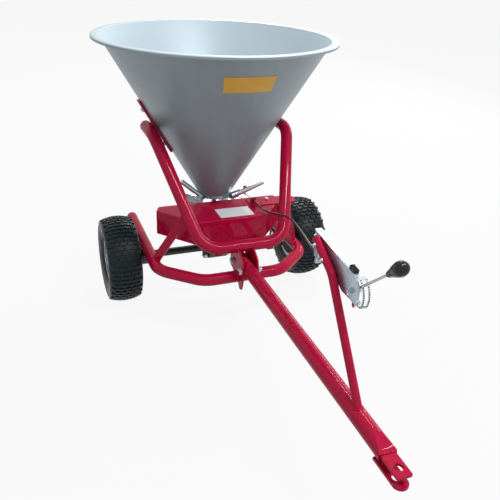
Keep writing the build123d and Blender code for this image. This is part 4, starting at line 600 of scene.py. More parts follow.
hexagon = bolt_node("GeometryNodeObjectInfo", {"Object": given["Hexagon"]}).outputs["Geometry"]
washer_thick = bolt_maths("MULTIPLY", given["Size"], 0.16)
washer = bolt_node("GeometryNodeMeshCylinder", {
    "Vertices": 28, "Radius": bolt_maths("MULTIPLY", given["Size"], 1.06), "Depth": washer_thick,
})
past_nut = bolt_maths("MULTIPLY", given["Nut"], 1.25)
shank_length = bolt_maths("MULTIPLY_ADD", given["Size"], past_nut, given["Grip"])
shank = bolt_node("GeometryNodeMeshCylinder", {
    "Vertices": 20, "Radius": bolt_maths("MULTIPLY", given["Size"], 0.49), "Depth": shank_length,
})
nut_seat = bolt_maths("MULTIPLY", given["Grip"], -1.0)
nut_side = gathered(
    lifted(hexagon, bolt_maths("SUBTRACT", nut_seat, washer_thick), given["Size"], (pi, 0, 0)),
    lifted(washer, bolt_maths("MULTIPLY_ADD", washer_thick, -0.5, nut_seat)),
)
nut = bolt_node("GeometryNodeSwitch", {"Switch": given["Nut"], "True": nut_side}, input_type="GEOMETRY")
bolt = gathered(
    lifted(hexagon, washer_thick, given["Size"]),
    lifted(washer, bolt_maths("MULTIPLY", washer_thick, 0.5)),
    lifted(shank, bolt_maths("MULTIPLY", shank_length, -0.5)),
    nut,
)
facing = bolt_node("GeometryNodeInputNamedAttribute", {"Name": "facing"}, data_type="FLOAT_VECTOR")
aligned = bolt_node("FunctionNodeAlignRotationToVector", {"Vector": facing}, axis="Z")
end_bolts("GeometryNodeInstanceOnPoints", {
    "Points": given["Geometry"], "Instance": bolt, "Rotation": aligned,
})


def bolt_group(seats, size, grip, nut=True):
    """Bolts of one size, from pairs of the head's seat and the way that it faces."""
    points = plain_mesh(seat for seat, way in seats)
    ways = points.attributes.new("facing", "FLOAT_VECTOR", "POINT")
    ways.data.foreach_set("vector", [part for seat, way in seats for part in way])
    return grown(through_bolts, points, zinc_plate, Hexagon=hex_shape, Size=size, Grip=grip, Nut=nut)


drawbar_seats = [((-ear_out, ahead(reach), drawbar_z), (-1, 0, 0)) for reach in (0.324, 0.411)]
place_piece("drawbar_cross_bolts", bolt_group(drawbar_seats, 0.012, 2 * ear_out), zinc_plate, "drawbar_bolts")


# Hopper: sheet steel spun into a cone with a flat lip and a turned-down hem, coated in satin silver.
# Its side plates are bolted through it, and a blank label film is stuck on its front.
def turned(profile, place, way, sides=48, closed=False):
    """A mesh turned round a line through a place, from pairs of radius and height along it."""
    form = bmesh.new()
    rings = []
    for radius, height in profile:
        turns = [2 * pi * i / sides for i in range(sides if radius > 0 else 1)]
        rings.append([form.verts.new((radius * cos(turn), radius * sin(turn), height)) for turn in turns])
    for low, high in list(zip(rings, rings[1:])) + ([(rings[-1], rings[0])] if closed else []):
        for i in range(sides):
            j = i + 1
            corners = (low[i % len(low)], low[j % len(low)], high[j % len(high)], high[i % len(high)])
            form.faces.new(list(dict.fromkeys(corners)))
    bmesh.ops.recalc_face_normals(form, faces=form.faces)
    turn = Vector((0, 0, 1)).rotation_difference(Vector(way)).to_matrix().to_4x4()
    bmesh.ops.transform(form, matrix=Matrix.Translation(place) @ turn, verts=form.verts)
    mesh = bpy.data.meshes.new("turned")
    form.to_mesh(mesh)
    form.free()
    return mesh


def corner(centre, radius, start, end, steps=5):
    """Points round a corner of a profile, from one angle to another in degrees."""
    angles = [radians(start + (end - start) * i / steps) for i in range(steps + 1)]
    return [(centre[0] + radius * cos(angle), centre[1] + radius * sin(angle)) for angle in angles]


# faint streaks that run down a spun piece, left by the tool that shaped it
spun_streaks, given, result = new_tree(
    "spun_streaks", "ShaderNodeTree", {"Centre": "Vector", "Fineness": "Float"}, {"Mask": "Float"}
)
spot_maths = partial(grow, spun_streaks, "ShaderNodeVectorMath")
spot = grow(spun_streaks, "ShaderNodeTexCoord").outputs["Object"]
from_line = spot_maths({0: spot, 1: given["Centre"]}, operation="SUBTRACT")
level = spot_maths({0: from_line, 1: (1, 1, 0)}, operation="MULTIPLY")
round_line = spot_maths({0: level}, operation="NORMALIZE")
drawn = spot_maths({0: from_line, 1: (0, 0, 0.12), 2: round_line}, operation="MULTIPLY_ADD")
streaks = mottle(spun_streaks, given["Fineness"], 6.0, drawn, Roughness=0.6)
spun_streaks.links.new(ramp(spun_streaks, streaks, 0.3, 0.7), result["Mask"])

hopper_low, hopper_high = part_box("hopper")
rim_radius = hopper_high[0]
cone_low_radius = 0.063
cone_top_radius = rim_radius - 0.025
hopper_sheet = 0.002
hem = 0.010
cone_slope = (cone_top_radius - cone_low_radius) / (hopper_high[2] - hopper_low[2])
inner_top_radius = cone_top_radius - hopper_sheet * sqrt(1 + cone_slope**2)
inner_low_radius = cone_low_radius - hopper_sheet * sqrt(1 + cone_slope**2)
lip_z = hopper_high[2]
lip_fold = 0.004
fold_middle = (rim_radius - lip_fold, lip_z - lip_fold)
hopper_profile = [
    (cone_low_radius, hopper_low[2]),
    (cone_top_radius - 0.007 * cone_slope, lip_z - 0.007),
    (cone_top_radius, lip_z - hopper_sheet - 0.001),
    (cone_top_radius + 0.003, lip_z - hopper_sheet),
    *corner(fold_middle, lip_fold - hopper_sheet, 90, 0),
    *corner((rim_radius - hopper_sheet / 2, lip_z - hem + hopper_sheet / 2), hopper_sheet / 2, 180, 360),
    *corner(fold_middle, lip_fold, 0, 90),
    (inner_top_radius + 0.003, lip_z),
    (inner_top_radius - 0.0005, lip_z - 0.001),
    (inner_top_radius - 0.006 * cone_slope, lip_z - 0.006),
    (inner_low_radius, hopper_low[2]),
]
hopper_silver = coated(
    "hopper_silver", "hopper_silver", (0.262, 0.325, 0.358), (0.236, 0.294, 0.324), roughness=0.40,
    spread=0.06, patches=3.0, grains=700.0, bump=0.00002, Metallic=0.25,
)
silver_tree = hopper_silver.node_tree
silver_colour = silver_tree.nodes["Principled BSDF"].inputs["Base Color"]
spun = grow(silver_tree, "ShaderNodeGroup", {
    "Centre": (0, axle_y, 0), "Fineness": 14.0,
}, node_tree=spun_streaks)
streak_share = maths(silver_tree, "MULTIPLY", spun.outputs["Mask"], 0.30)
streaked = blended(silver_tree, streak_share, silver_colour.links[0].from_socket, (0.31, 0.375, 0.41, 1))
silver_tree.links.new(streaked, silver_colour)
# a lighter copy of the hopper's silver: painted light, the same sheet drawn lighter where it faces up and is
# lit from above
painted_lit_silver = coated(
    "painted_lit_silver", "hopper_silver", (0.53, 0.63, 0.69), (0.50, 0.60, 0.66), roughness=0.42, spread=0.08,
    patches=4.0, grains=700.0, bump=0.00002, Metallic=0.15,
)
hopper_mesh = turned(hopper_profile, (0, axle_y, 0), (0, 0, 1), sides=192, closed=True)
place_piece("hopper_cone", hopper_mesh, hopper_silver, "hopper")
# the faces that look upwards, inside the cone and on the lip, take the lighter copy as painted light
hopper_mesh.materials.append(painted_lit_silver)
for face in hopper_mesh.polygons:
    face.material_index = int(face.normal.z > 0.25)
place_soft("hopper_floor", "hopper_base", 0.0005, hopper_silver)


def cone_radius(z):
    """The radius of the cone's outside at a height."""
    return cone_low_radius + (z - hopper_low[2]) * cone_slope


cone_turn = Vector((cone_slope, 0, 1)).normalized()
plate_middle_z = 0.6795
plate_face = 0.0083
plate_bolt_half = 0.0736
hopper_seats = []
for side in (-1, 1):
    outward = Vector((side * cone_turn.z, 0, -cone_turn.x))
    for end in (-1, 1):
        bolt_z = plate_middle_z + end * plate_bolt_half * cone_turn.z
        skin = Vector((side * cone_radius(bolt_z), axle_y, bolt_z))
        hopper_seats.append((skin + outward * plate_face, outward))
place_piece("side_plate_bolts", bolt_group(hopper_seats, 0.008, 0.0109), zinc_plate, "hopper_bolts")

amber_film = coated(
    "amber_film", "hopper_silver", (0.78, 0.42, 0.03), (0.72, 0.37, 0.025), roughness=0.35, spread=0.08,
    patches=20.0, grains=300.0, bump=0.00002,
)
film_half = radians(14)
film_low = 0.863
film_height = 0.054
film_rows = 6
film_columns = 16
film_gap = 0.0004
film_thick = 0.0003
film_turns = [film_half * (2 * i / film_columns - 1) for i in range(film_columns + 1)]
film_points = []
for row in range(film_rows + 1):
    film_z = film_low + film_height * row / film_rows
    radius = cone_radius(film_z) + film_gap
    film_points.append([(radius * sin(turn), axle_y - radius * cos(turn), film_z) for turn in film_turns])
film_mesh = worked(lofted(film_points, around=False), "SOLIDIFY", thickness=film_thick, offset=1.0)
place_piece("hopper_label_film", film_mesh, amber_film, sharp=30)


# Feed plates and their levers: zinc-plated discs with slots, which turn under the hopper's floor,
# and the round bars on their tabs that set how much falls and where.
bright_bar = coated(
    "bright_bar", "zinc_steel", (0.55, 0.57, 0.60), (0.42, 0.44, 0.47), roughness=0.24, spread=0.14,
    patches=40.0, grains=800.0, bump=0.000004, Metallic=0.95,
)
bronze = coated(
    "bronze", "bush_bronze", (0.52, 0.36, 0.17), (0.42, 0.28, 0.12), roughness=0.34, spread=0.12,
    patches=60.0, grains=900.0, bump=0.000004, Metallic=0.9,
)
for node, finish, body in (
    ("shutter_plate", zinc_plate, "shutter"),
    ("shutter_lever", bright_bar, "shutter"),
    ("direction_plate", zinc_plate, "direction"),
    ("direction_lever", zinc_plate, "direction"),
    ("feed_bush", bronze, "frame"),
):
    place_soft(f"{node}_soft", node, 0.0006, finish, body)


# Axle, bearings and gearbox: a blackened shaft in cast pillow blocks bolted up under the frame,
# with a cast gearbox in two halves in its middle that turns the spinner's shaft.
blackened = coated(
    "blackened_steel", "black_steel", (0.035, 0.036, 0.039), (0.022, 0.023, 0.025), roughness=0.36,
    spread=0.14, patches=30.0, grains=700.0, bump=0.00004, Metallic=0.6,
)
cast_black = coated(
    "cast_black", "black_iron", (0.030, 0.031, 0.034), (0.018, 0.019, 0.021), roughness=0.52,
    spread=0.16, patches=35.0, grains=320.0, bump=0.00035, edge_colour=(0.07, 0.07, 0.075),
)
for node, rounding, finish, body in (
    ("axle_shaft", 0.0008, blackened, "axle"),
    ("axle_spacers", 0.0006, blackened, "axle"),
    ("axle_end_bolts", 0.0005, zinc_plate, "axle"),
    ("drive_pin", 0.0005, zinc_plate, "axle"),
    ("bearings", 0.0005, bright_bar, "frame"),
    ("bearing_housing_left", 0.002, cast_black, "frame"),
    ("bearing_housing_right", 0.002, cast_black, "frame"),
    ("gearbox_front", 0.0016, cast_black, "frame"),
    ("gearbox_rear", 0.0016, cast_black, "frame"),
    ("hub_bush", 0.0004, bronze, "left_wheel"),
):
    place_soft(f"{node}_soft", node, rounding, finish, body)
for node in ("crown_gear", "pinion"):
    bpy.data.objects[node].material_slots[0].material = blackened
housing_flange_z = 0.1855
housing_bolt_reach = 0.055
bearing_seats = [
    ((side * lower_side_half, axle_y + end * housing_bolt_reach, housing_flange_z), (0, 0, -1))
    for side in (-1, 1) for end in (-1, 1)
]
place_piece("housing_bolts", bolt_group(bearing_seats, 0.010, 0.0352, nut=False), zinc_plate, "bearing_bolts")
box_low, box_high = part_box("gearbox_bolts")
box_bolt = 0.008
box_bolt_half = hex_flat * box_bolt / cos(radians(30))
box_flange_half = 0.007
box_bolt_rise = 0.037
gearbox_seats = [
    ((x, axle_y - box_flange_half, axle_z + end * box_bolt_rise), (0, -1, 0))
    for x in (box_low[0] + box_bolt_half, box_high[0] - box_bolt_half) for end in (-1, 1)
]
gearbox_bolt_mesh = bolt_group(gearbox_seats, box_bolt, 2 * box_flange_half)
place_piece("gearbox_case_bolts", gearbox_bolt_mesh, zinc_plate, "gearbox_bolts")


# Spinner: a dished zinc-plated disc with four folded vanes on the upright shaft, and a cross pin above
# it that stirs the hopper's mouth.
for node in ("spinner_shaft", "spinner_disc", "spinner_vanes", "agitator"):
    place_soft(f"{node}_soft", node, 0.0005, bright_bar, "spinner")


# Wheels: turf tyres of moulded black rubber on pressed silver rims, each with a valve stem.
# The tread is courses of notched blocks, every second course half a block to the side.
rim_silver = coated(
    "rim_silver", "rim_silver", (0.46, 0.49, 0.52), (0.38, 0.41, 0.44), roughness=0.34, spread=0.10,
    patches=14.0, grains=500.0, bump=0.00004, edge_colour=(0.3, 0.31, 0.32), Metallic=0.6,
)
rubber = coated(
    "moulded_rubber", "tyre_rubber", (0.005, 0.013, 0.018), (0.003, 0.008, 0.011), roughness=0.42,
    spread=0.20, patches=28.0, grains=900.0, bump=0.00008, Specular_IOR_Level=0.26,
)
tread_plan = [
    (-0.50, -0.32), (0.0, -0.50), (0.50, -0.32), (0.50, 0.50),
    (0.18, 0.50), (0.0, 0.30), (-0.18, 0.50), (-0.50, 0.50),
]
tread_width = 0.0205
tread_length = 0.0118
tread_depth = 0.0068
tread_block = lofted([
    [(x * tread_width * share, y * tread_length * share, -depth) for x, y in tread_plan]
    for share, depth in ((1.06, tread_depth), (1.0, 0.001), (0.86, 0.0))
], first=True, last=True)
block_shape = bpy.data.objects.new("tread_block", tread_block)

tread_blocks, given, tread_node, end_tread = shape_tree("tread_blocks", {
    "Block": "Object", "Courses": "Int", "Across": "Int", "Spacing": "Float", "Radius": "Float",
    "Crown": "Float",
})
tread_maths = partial(maths, tread_blocks)


def along(tree, vector, length, start=(0, 0, 0)):
    """A point this far along a vector from a start."""
    scaled = grow(tree, "ShaderNodeVectorMath", {0: vector, "Scale": length}, operation="SCALE")
    return grow(tree, "ShaderNodeVectorMath", {0: scaled, 1: start}, operation="ADD").outputs[0]


def squared(tree, up_way, across_way):
    """The turn that stands a shape up one way, with its X across."""
    return grow(tree, "FunctionNodeAxesToRotation", {
        "Primary Axis": up_way, "Secondary Axis": across_way,
    }, primary_axis="Z", secondary_axis="X")


index = tread_node("GeometryNodeInputIndex").outputs[0]
course = tread_maths("FLOOR", tread_maths("DIVIDE", index, given["Across"]))
column = tread_maths("MODULO", index, given["Across"])
shifted = tread_maths("MODULO", course, 2.0)
middle = tread_maths("MULTIPLY_ADD", given["Across"], 0.5, -1.0)
step = tread_maths("SUBTRACT", column, tread_maths("MULTIPLY_ADD", shifted, 0.5, middle))
lean = tread_maths("DIVIDE", tread_maths("MULTIPLY", step, given["Spacing"]), given["Crown"])
turn = tread_maths("DIVIDE", tread_maths("MULTIPLY", course, 2 * pi), given["Courses"])
lean_sine = tread_maths("SINE", lean)
lean_cosine = tread_maths("COSINE", lean)
spoke = xyz(tread_blocks, y=tread_maths("COSINE", turn), z=tread_maths("SINE", turn))
outward = along(tread_blocks, spoke, lean_cosine, xyz(tread_blocks, lean_sine))
inward_lean = tread_maths("MULTIPLY", lean_sine, -1.0)
sideways = along(tread_blocks, spoke, inward_lean, xyz(tread_blocks, lean_cosine))
crown_middle = along(tread_blocks, spoke, tread_maths("SUBTRACT", given["Radius"], given["Crown"]))
spots = tread_node("GeometryNodeSetPosition", {
    "Geometry": tread_node("GeometryNodePoints", {
        "Count": tread_maths("MULTIPLY", given["Courses"], given["Across"]),
    }),
    "Position": along(tread_blocks, outward, given["Crown"], crown_middle),
})
last_column = tread_maths("SUBTRACT", given["Across"], 1.5)
kept = tread_maths("LESS_THAN", tread_maths("SUBTRACT", column, shifted), last_column)
block = tread_node("GeometryNodeObjectInfo", {"Object": given["Block"]}).outputs["Geometry"]
end_tread("GeometryNodeInstanceOnPoints", {
    "Points": spots, "Selection": kept, "Instance": block,
    "Rotation": squared(tread_blocks, outward, sideways),
})


def joined(*meshes, offset=(0, 0, 0)):
    """Several meshes as one, moved by an offset."""
    form = bmesh.new()
    for mesh in meshes:
        form.from_mesh(mesh)
    bmesh.ops.translate(form, vec=offset, verts=form.verts)
    whole = bpy.data.meshes.new("joined")
    form.to_mesh(whole)
    form.free()
    return whole


tyre_low, tyre_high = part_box("tyre_right")
tyre_half = (tyre_high[0] - tyre_low[0]) / 2
tyre_radius = (tyre_high[2] - tyre_low[2]) / 2
rim_half = 0.0445
past_rim = [
    (0.0763, -0.0003), (0.0878, -0.0003), (0.0905, 0.0065), (0.0935, 0.0085),
    (0.0965, 0.0100), (0.0980, 0.0122), (0.1010, 0.0125), (0.1025, 0.0118),
]
within_bulge = [
    (0.1095, 0.0034), (0.1210, 0.0008), (0.1320, 0.0), (0.1405, 0.0010),
    (0.1470, 0.0050), (0.1520, 0.0120), (0.1562, 0.0260), (0.1590, 0.0440),
]
outer_side = [(r, rim_half + x) for r, x in past_rim]
outer_side += [(r, tyre_half - x) for r, x in within_bulge] + [(0.1598, 0.0)]
inner_side = [(0.150, 0.0), (0.148, 0.036), (0.131, tyre_half - 0.008), (0.0875, 0.0365), (0.0763, 0.0335)]
tyre_profile = (
    outer_side + [(r, -x) for r, x in reversed(outer_side[:-1])]
    + [(r, -x) for r, x in reversed(inner_side)] + inner_side[1:]
)
stem_profile = [
    (0, -0.004), (0.0072, -0.004), (0.0078, 0.001), (0.0060, 0.004), (0.0046, 0.014), (0.0040, 0.022),
    (0.0047, 0.0225), (0.0047, 0.0310), (0.0040, 0.0325), (0, 0.0325),
]
stem_spoke = Vector((0, -cos(radians(70)), sin(radians(70))))
stem_out = 0.022
stem_radius = 0.0728
stem_lean = 0.62
stem_rise = 0.78
for side, name, body in ((-1, "left", "left_wheel"), (1, "right", "axle")):
    wheel_place = joint_places["left_wheel_turn"].copy()
    wheel_place.x *= -side
    carcass = turned(tyre_profile, (0, 0, 0), (1, 0, 0), sides=108, closed=True)
    tread = grown(
        tread_blocks, bpy.data.meshes.new("seed"), rubber, Block=block_shape, Courses=56, Across=5,
        Spacing=0.0252, Radius=tyre_radius - 0.0003, Crown=0.150,
    )
    tyre_mesh = joined(carcass, tread, offset=wheel_place)
    place_piece(f"tyre_{name}_turf", tyre_mesh, rubber, f"tyre_{name}", body=body, sharp=28)
    place_soft(f"rim_{name}_soft", f"rim_{name}", 0.0012, rim_silver, body, steps=3)
    stem_place = wheel_place + Vector((side * stem_out, 0, 0)) + stem_spoke * stem_radius
    stem_way = Vector((side * stem_lean, 0, 0)) - stem_spoke * stem_rise
    stem_mesh = turned(stem_profile, stem_place, stem_way, sides=20)
    place_piece(f"valve_stem_{name}", stem_mesh, rubber, body=body, sharp=40)


# Guard: one piece of sheet steel folded over the front of the spinner, with a level roof and rounded
# corners, welded on stays and coated red. A blank label film is stuck on the roof.
def rounded_outline(corners, radii, inset, steps=6):
    """An open outline moved inwards, with its inner corners rounded and its ends kept on their own line."""
    corners = [Vector(point) for point in corners]
    ways = [(b - a).normalized() for a, b in zip(corners, corners[1:])]
    moved = [(a + Vector((-way.y, way.x)) * inset, way) for a, way in zip(corners, ways)]
    end_way = (corners[-1] - corners[0]).normalized()
    lines = [(corners[0], end_way), *moved, (corners[-1], end_way)]
    points = []
    for i, ((first, first_way), (second, second_way)) in enumerate(zip(lines, lines[1:])):
        share = (second - first).cross(second_way) / first_way.cross(second_way)
        meet = first + first_way * share
        radius = radii[i] - inset
        if radius <= 0:
            points.append(meet)
            continue
        half_turn = first_way.angle(second_way) / 2
        middle = meet + (second_way - first_way).normalized() * radius / cos(half_turn)
        spoke_start = meet - first_way * radius * tan(half_turn) - middle
        way_round = 1 if first_way.cross(second_way) > 0 else -1
        for k in range(steps + 1):
            points.append(middle + Matrix.Rotation(way_round * 2 * half_turn * k / steps, 2) @ spoke_start)
    return points


guard_low, guard_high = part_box("guard")
guard_side = guard_high[0]
guard_rear = guard_high[1]
guard_front = guard_low[1]
guard_top = guard_high[2]
guard_front_half = 0.132
guard_corners = [
    (-guard_side + 0.016, guard_rear), (-guard_side, guard_rear - 0.036), (-guard_front_half, guard_front),
    (guard_front_half, guard_front), (guard_side, guard_rear - 0.036), (guard_side - 0.016, guard_rear),
]
guard_radii = [0, 0.014, 0.028, 0.028, 0.014, 0]
guard_fold = 0.005
guard_sheet = 0.0025
fold_turns = [radians(angle) for angle in (0, 18, 36, 54, 72, 90)]
levels = [
    (0.0, guard_low[2]),
    *((guard_fold * (1 - cos(turn)), guard_top - guard_fold * (1 - sin(turn))) for turn in fold_turns),
    (guard_fold + 0.001, guard_top),
]
guard_skin = lofted([
    [(*point, z) for point in rounded_outline(guard_corners, guard_radii, inset)] for inset, z in levels
], around=False, last=True)
guard_mesh = worked(guard_skin, "SOLIDIFY", thickness=guard_sheet, offset=-1.0)
place_piece("guard_sheet", guard_mesh, red_coat, "guard")
white_film = coated(
    "white_film", "frame_red", (0.80, 0.82, 0.84), (0.74, 0.76, 0.79), roughness=0.35, spread=0.08,
    patches=20.0, grains=300.0, bump=0.00002,
)
film_left, film_right = -0.037, 0.093
film_rear, film_front = ahead(0.125), ahead(0.205)
film_corners = [
    (film_left, film_rear), (film_left, film_front), (film_right, film_front), (film_right, film_rear),
]
film_outline = rounded_outline(film_corners, [0, 0.006, 0.006, 0], 0.0)
guard_film = plain_mesh(
    [(*point, guard_top + 0.0002) for point in film_outline], faces=[tuple(range(len(film_outline)))]
)
guard_film = worked(guard_film, "SOLIDIFY", thickness=film_thick, offset=1.0)
place_piece("guard_label_film", guard_film, white_film, sharp=30)


# Mast and control bracket: a bent red tube welded on the drawbar, and a folded zinc-plated plate
# bolted to its side, with two rivets beside the lever's pivot.
place_soft("mast", "control_mast", 0.0005, red_coat)
mast_y = ahead(1.158)
mast_bend = Vector((0, ahead(0.963), 0.558))
mast_weld_radius = 0.0118
drawbar_weld_radius = 0.0245
foot_top = Vector((0, mast_y, drawbar_z + 0.024))
mast_way = (mast_bend - foot_top).normalized()
ring_middle = foot_top - mast_way * 0.03
mast_across = mast_way.cross(Vector((1, 0, 0))) * mast_weld_radius
mast_turns = [2 * pi * i / 40 for i in range(40)]
mast_side = Vector((mast_weld_radius, 0, 0))
mast_ring = [ring_middle + mast_side * cos(turn) + mast_across * sin(turn) for turn in mast_turns]
mast_seam = meeting_line(mast_ring, mast_way, (0, mast_y, drawbar_z), (0, 1, 0), drawbar_weld_radius)
place_welds("mast_weld", mast_seam)
place_soft("bracket", "control_bracket", 0.0008, zinc_plate)
web_in = 0.0113
web_out = 0.0143
rivet_profile = [
    (0, -0.002), (0.0048, -0.002), (0.0048, 0.0004), *corner((0, -0.0012), 0.0050, 18, 90)[:-1], (0, 0.0038),
]
rivets = [turned(rivet_profile, (web_in, ahead(1.032), z), (-1, 0, 0), sides=24) for z in (0.575, 0.536)]
place_piece("web_rivets", joined(*rivets), bright_bar, sharp=50)
mast_seats = [((web_out, ahead(reach), z), (1, 0, 0)) for reach, z in ((0.926, 0.5769), (0.882, 0.5993))]
clamp_reach = 0.845
clamp_seats = [((web_out + 0.0043, ahead(clamp_reach), 0.608), (1, 0, 0))]
bracket_bolt_mesh = joined(bolt_group(mast_seats, 0.006, 0.0253), bolt_group(clamp_seats, 0.006, 0.0073))
place_piece("bracket_through_bolts", bracket_bolt_mesh, zinc_plate, "bracket_bolts")


# Scale band: a white strip bent round the pivot, slotted for the lever, with plain black marks
# printed at even steps on both sides of the slot.
scale_white = coated(
    "scale_white", "scale_white", (0.60, 0.63, 0.66), (0.54, 0.57, 0.60), roughness=0.4, spread=0.1,
    patches=40.0, grains=500.0, bump=0.00002,
)
mark_black = coated(
    "mark_black", "scale_white", (0.016, 0.016, 0.020), (0.010, 0.010, 0.012), roughness=0.4, spread=0.1,
    patches=80.0, grains=900.0, bump=0.00001,
)
place_soft("scale_strip", "scale_band", 0.0004, scale_white)
pivot = joint_places["lever_turn"]
scale_marks, given, mark_node, end_marks = shape_tree("scale_marks", {
    "Count": "Int", "Start": "Float", "End": "Float", "Radius": "Float", "Length": "Float",
    "Thickness": "Float", "Long Every": "Int",
})
mark_maths = partial(maths, scale_marks)
index = mark_node("GeometryNodeInputIndex").outputs[0]
passed = mark_maths("DIVIDE", index, mark_maths("SUBTRACT", given["Count"], 1.0))
sweep = mark_maths("SUBTRACT", given["End"], given["Start"])
turn = mark_maths("MULTIPLY_ADD", passed, sweep, given["Start"])
forward = mark_maths("MULTIPLY", mark_maths("COSINE", turn), -1.0)
spoke = xyz(scale_marks, y=forward, z=mark_maths("SINE", turn))
marks = mark_node("GeometryNodeSetPosition", {
    "Geometry": mark_node("GeometryNodePoints", {"Count": given["Count"]}),
    "Position": along(scale_marks, spoke, given["Radius"]),
})
short = mark_maths("GREATER_THAN", mark_maths("MODULO", index, given["Long Every"]), 0.5)
mark_length = mark_maths("MULTIPLY", given["Length"], mark_maths("MULTIPLY_ADD", short, -0.4, 1.0))
end_marks("GeometryNodeInstanceOnPoints", {
    "Points": marks,
    "Instance": mark_node("GeometryNodeMeshCube", {"Size": (1, 1, 1)}),
    "Rotation": squared(scale_marks, spoke, (1, 0, 0)),
    "Scale": xyz(scale_marks, mark_length, given["Thickness"], 0.0004),
})
mark_rows = []
for row_x in (-0.0076, 0.0076):
    mark_row = grown(
        scale_marks, bpy.data.meshes.new("seed"), mark_black, Count=13, Start=radians(56), End=radians(-26),
        Radius=0.0511, Length=0.0046, Thickness=0.0026, Long_Every=3,
    )
    mark_rows.append(joined(mark_row, offset=pivot + Vector((row_x, 0, 0))))
place_piece("scale_marks", joined(*mark_rows), mark_black, sharp=30)


# Control lever: a steel rod through the band's slot with a glossy black pear grip, its hub on a bolt
# in the bracket, and a ribbed black block that limits its travel.
place_soft("lever_rod", "control_lever", 0.0006, bright_bar, "lever")
place_soft("stop_block", "limit_stop", 0.0006, black_plastic)
lever_way = Vector((0, -cos(radians(42)), sin(radians(42))))
knob_start = 0.158
knob_length = 0.072
knob_radius = 0.018
knob_shape = [
    (0.30, 0.0), (0.40, 0.01), (0.46, 0.06), (0.52, 0.14), (0.61, 0.25), (0.73, 0.37), (0.86, 0.49),
    (0.95, 0.60), (1.00, 0.70), (0.99, 0.77), (0.93, 0.85), (0.80, 0.92), (0.60, 0.97), (0.36, 0.993),
    (0.16, 0.999), (0, 1.0),
]
knob_profile = [(0, knob_start + 0.001)]
knob_profile += [(knob_radius * r, knob_start + knob_length * h) for r, h in knob_shape]
knob_mesh = turned(knob_profile, pivot, lever_way, sides=56)
place_piece("pear_knob", knob_mesh, black_plastic, "lever_knob", body="lever", sharp=60)
pivot_seat = Vector((0.0312, pivot.y, pivot.z))
place_piece("lever_pivot", bolt_group([(pivot_seat, (1, 0, 0))], 0.008, 0.0199), zinc_plate, "pivot_bolt")


# Cable clamp and adjuster: a plate with a drilled block on the bracket's rear end, and the threaded
# barrel that it holds between two nuts.
place_soft("clamp", "cable_clamp", 0.0008, zinc_plate)
adjuster_middle = Vector((0.028, ahead(clamp_reach), 0.536))
adjuster_way = Vector((0, -cos(radians(8)), -sin(radians(8))))
barrel_half = 0.022
barrel_end_radius = 0.0030
root_radius = 0.0034
crest_radius = 0.0040
thread_pitch = 0.00125
thread_count = 34
thread_profile = [(0, -barrel_half), (barrel_end_radius, -barrel_half)]
for i in range(thread_count):
    root = (i - thread_count / 2) * thread_pitch
    thread_profile += [(root_radius, root), (crest_radius, root + thread_pitch / 2)]
thread_profile += [(root_radius, barrel_half - 0.0005), (barrel_end_radius, barrel_half), (0, barrel_half)]
nut_height = 0.006
nut_half = 0.0065
nut_turn = Vector((0, 0, 1)).rotation_difference(adjuster_way).to_matrix().to_4x4()
nut_size = Matrix.Diagonal((nut_half / hex_flat, nut_half / hex_flat, nut_height / hex_height, 1))
adjuster_parts = [turned(thread_profile, adjuster_middle, adjuster_way, sides=28)]
for nut_start in (-0.0103, 0.0043):
    nut_mesh = hex_mesh.copy()
    nut_mesh.transform(Matrix.Translation(adjuster_middle + adjuster_way * nut_start) @ nut_turn @ nut_size)
    adjuster_parts.append(nut_mesh)
place_piece("threaded_adjuster", joined(*adjuster_parts), zinc_plate, "cable_adjuster")


# Cable stop: a red plate bolted to the guard's roof, with an upright tab that holds the cable's end
# in a black ferrule.
ferrule_place = Vector((0.118, ahead(0.120), 0.404))


def on_ferrule(point):
    """True on the ferrule, outside the tab that it goes through."""
    from_middle = point - ferrule_place
    return abs(from_middle.y) > 0.002 and sqrt(from_middle.x**2 + from_middle.z**2) < 0.0047


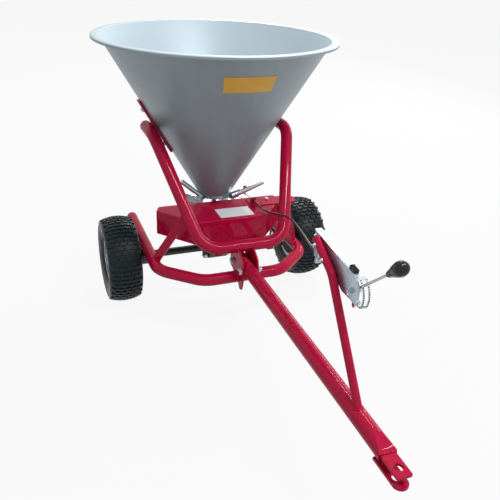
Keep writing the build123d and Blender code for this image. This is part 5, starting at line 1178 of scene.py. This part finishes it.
stop_mesh = softened("cable_stop", 0.0005, left_out=on_ferrule)
place_piece("cable_stop_plate", stop_mesh, red_coat, "cable_stop", sharp=None)
ferrule_profile = [
    (0.0013, -0.0075), (0.0042, -0.0075), (0.0045, -0.007), (0.0045, -0.0016), (0.0058, -0.0016),
    (0.0058, 0.0034), (0.0045, 0.0040), (0.0045, 0.007), (0.0040, 0.0075), (0.0013, 0.0075),
]
ferrule_mesh = turned(ferrule_profile, ferrule_place, (0, -1, 0), sides=32, closed=True)
place_piece("cable_ferrule", ferrule_mesh, black_plastic, sharp=40)
stop_seat = ((0.188, ahead(0.087), 0.3863), (0, 0, 1))
place_piece("stop_plate_bolt", bolt_group([stop_seat], 0.008, 0.0058), zinc_plate, "cable_stop_bolt")


# Cable: a black plastic sheath from the ferrule over the guard and past the upright to the adjuster,
# with the bare steel wire that it guides showing at both ends.
sheath_points = [
    (0.118, 0.1283, 0.404), (0.118, 0.1483, 0.404), (0.128, 0.177, 0.395), (0.139, 0.215, 0.392),
    (0.143, 0.268, 0.409), (0.146, 0.330, 0.429), (0.148, 0.392, 0.443), (0.139, 0.462, 0.453),
    (0.117, 0.540, 0.469), (0.091, 0.624, 0.490), (0.062, 0.706, 0.514), (0.042, 0.762, 0.533),
    (0.028, 0.79717, 0.54272), (0.028, 0.82292, 0.53910),
]
sheath_data = bpy.data.curves.new("sheath", "CURVE")
sheath_data.dimensions = "3D"
sheath_line = sheath_data.splines.new("NURBS")
sheath_line.points.add(len(sheath_points) - 1)
for point, (x, reach, z) in zip(sheath_line.points, sheath_points):
    point.co = (x, ahead(reach), z, 1)
sheath_line.order_u = 3
sheath_line.use_endpoint_u = True
sheath_line.resolution_u = 10
sheath_data.bevel_depth = 0.00325
sheath_data.bevel_resolution = 4
sheath_data.use_fill_caps = True
sheath_data.materials.append(black_plastic)
sheath = set_up("sheath", sheath_data)
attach(sheath, "frame")
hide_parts("cable_sheath")
wire_radius = 0.00125
wire_steps = 24
for name, start, end, moving in (
    ("wire_upper", (0.028, ahead(0.86708), 0.53290), (0.028, ahead(1.0387), 0.508), "lever"),
    ("wire_lower", (0.118, ahead(0.1114), 0.404), (0.10824, ahead(0.05982), 0.407), "shutter"),
):
    start = Vector(start)
    end = Vector(end)
    length = (end - start).length
    wire_skin = [(wire_radius, length * i / wire_steps) for i in range(wire_steps + 1)]
    wire_mesh = turned([(0, 0), *wire_skin, (0, length)], start, end - start, sides=14)
    wire_mesh.materials.append(bright_bar)
    wire_mesh.shade_smooth()
    wire = set_up(f"{name}_strand", wire_mesh)
    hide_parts(name)
    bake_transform(wire)
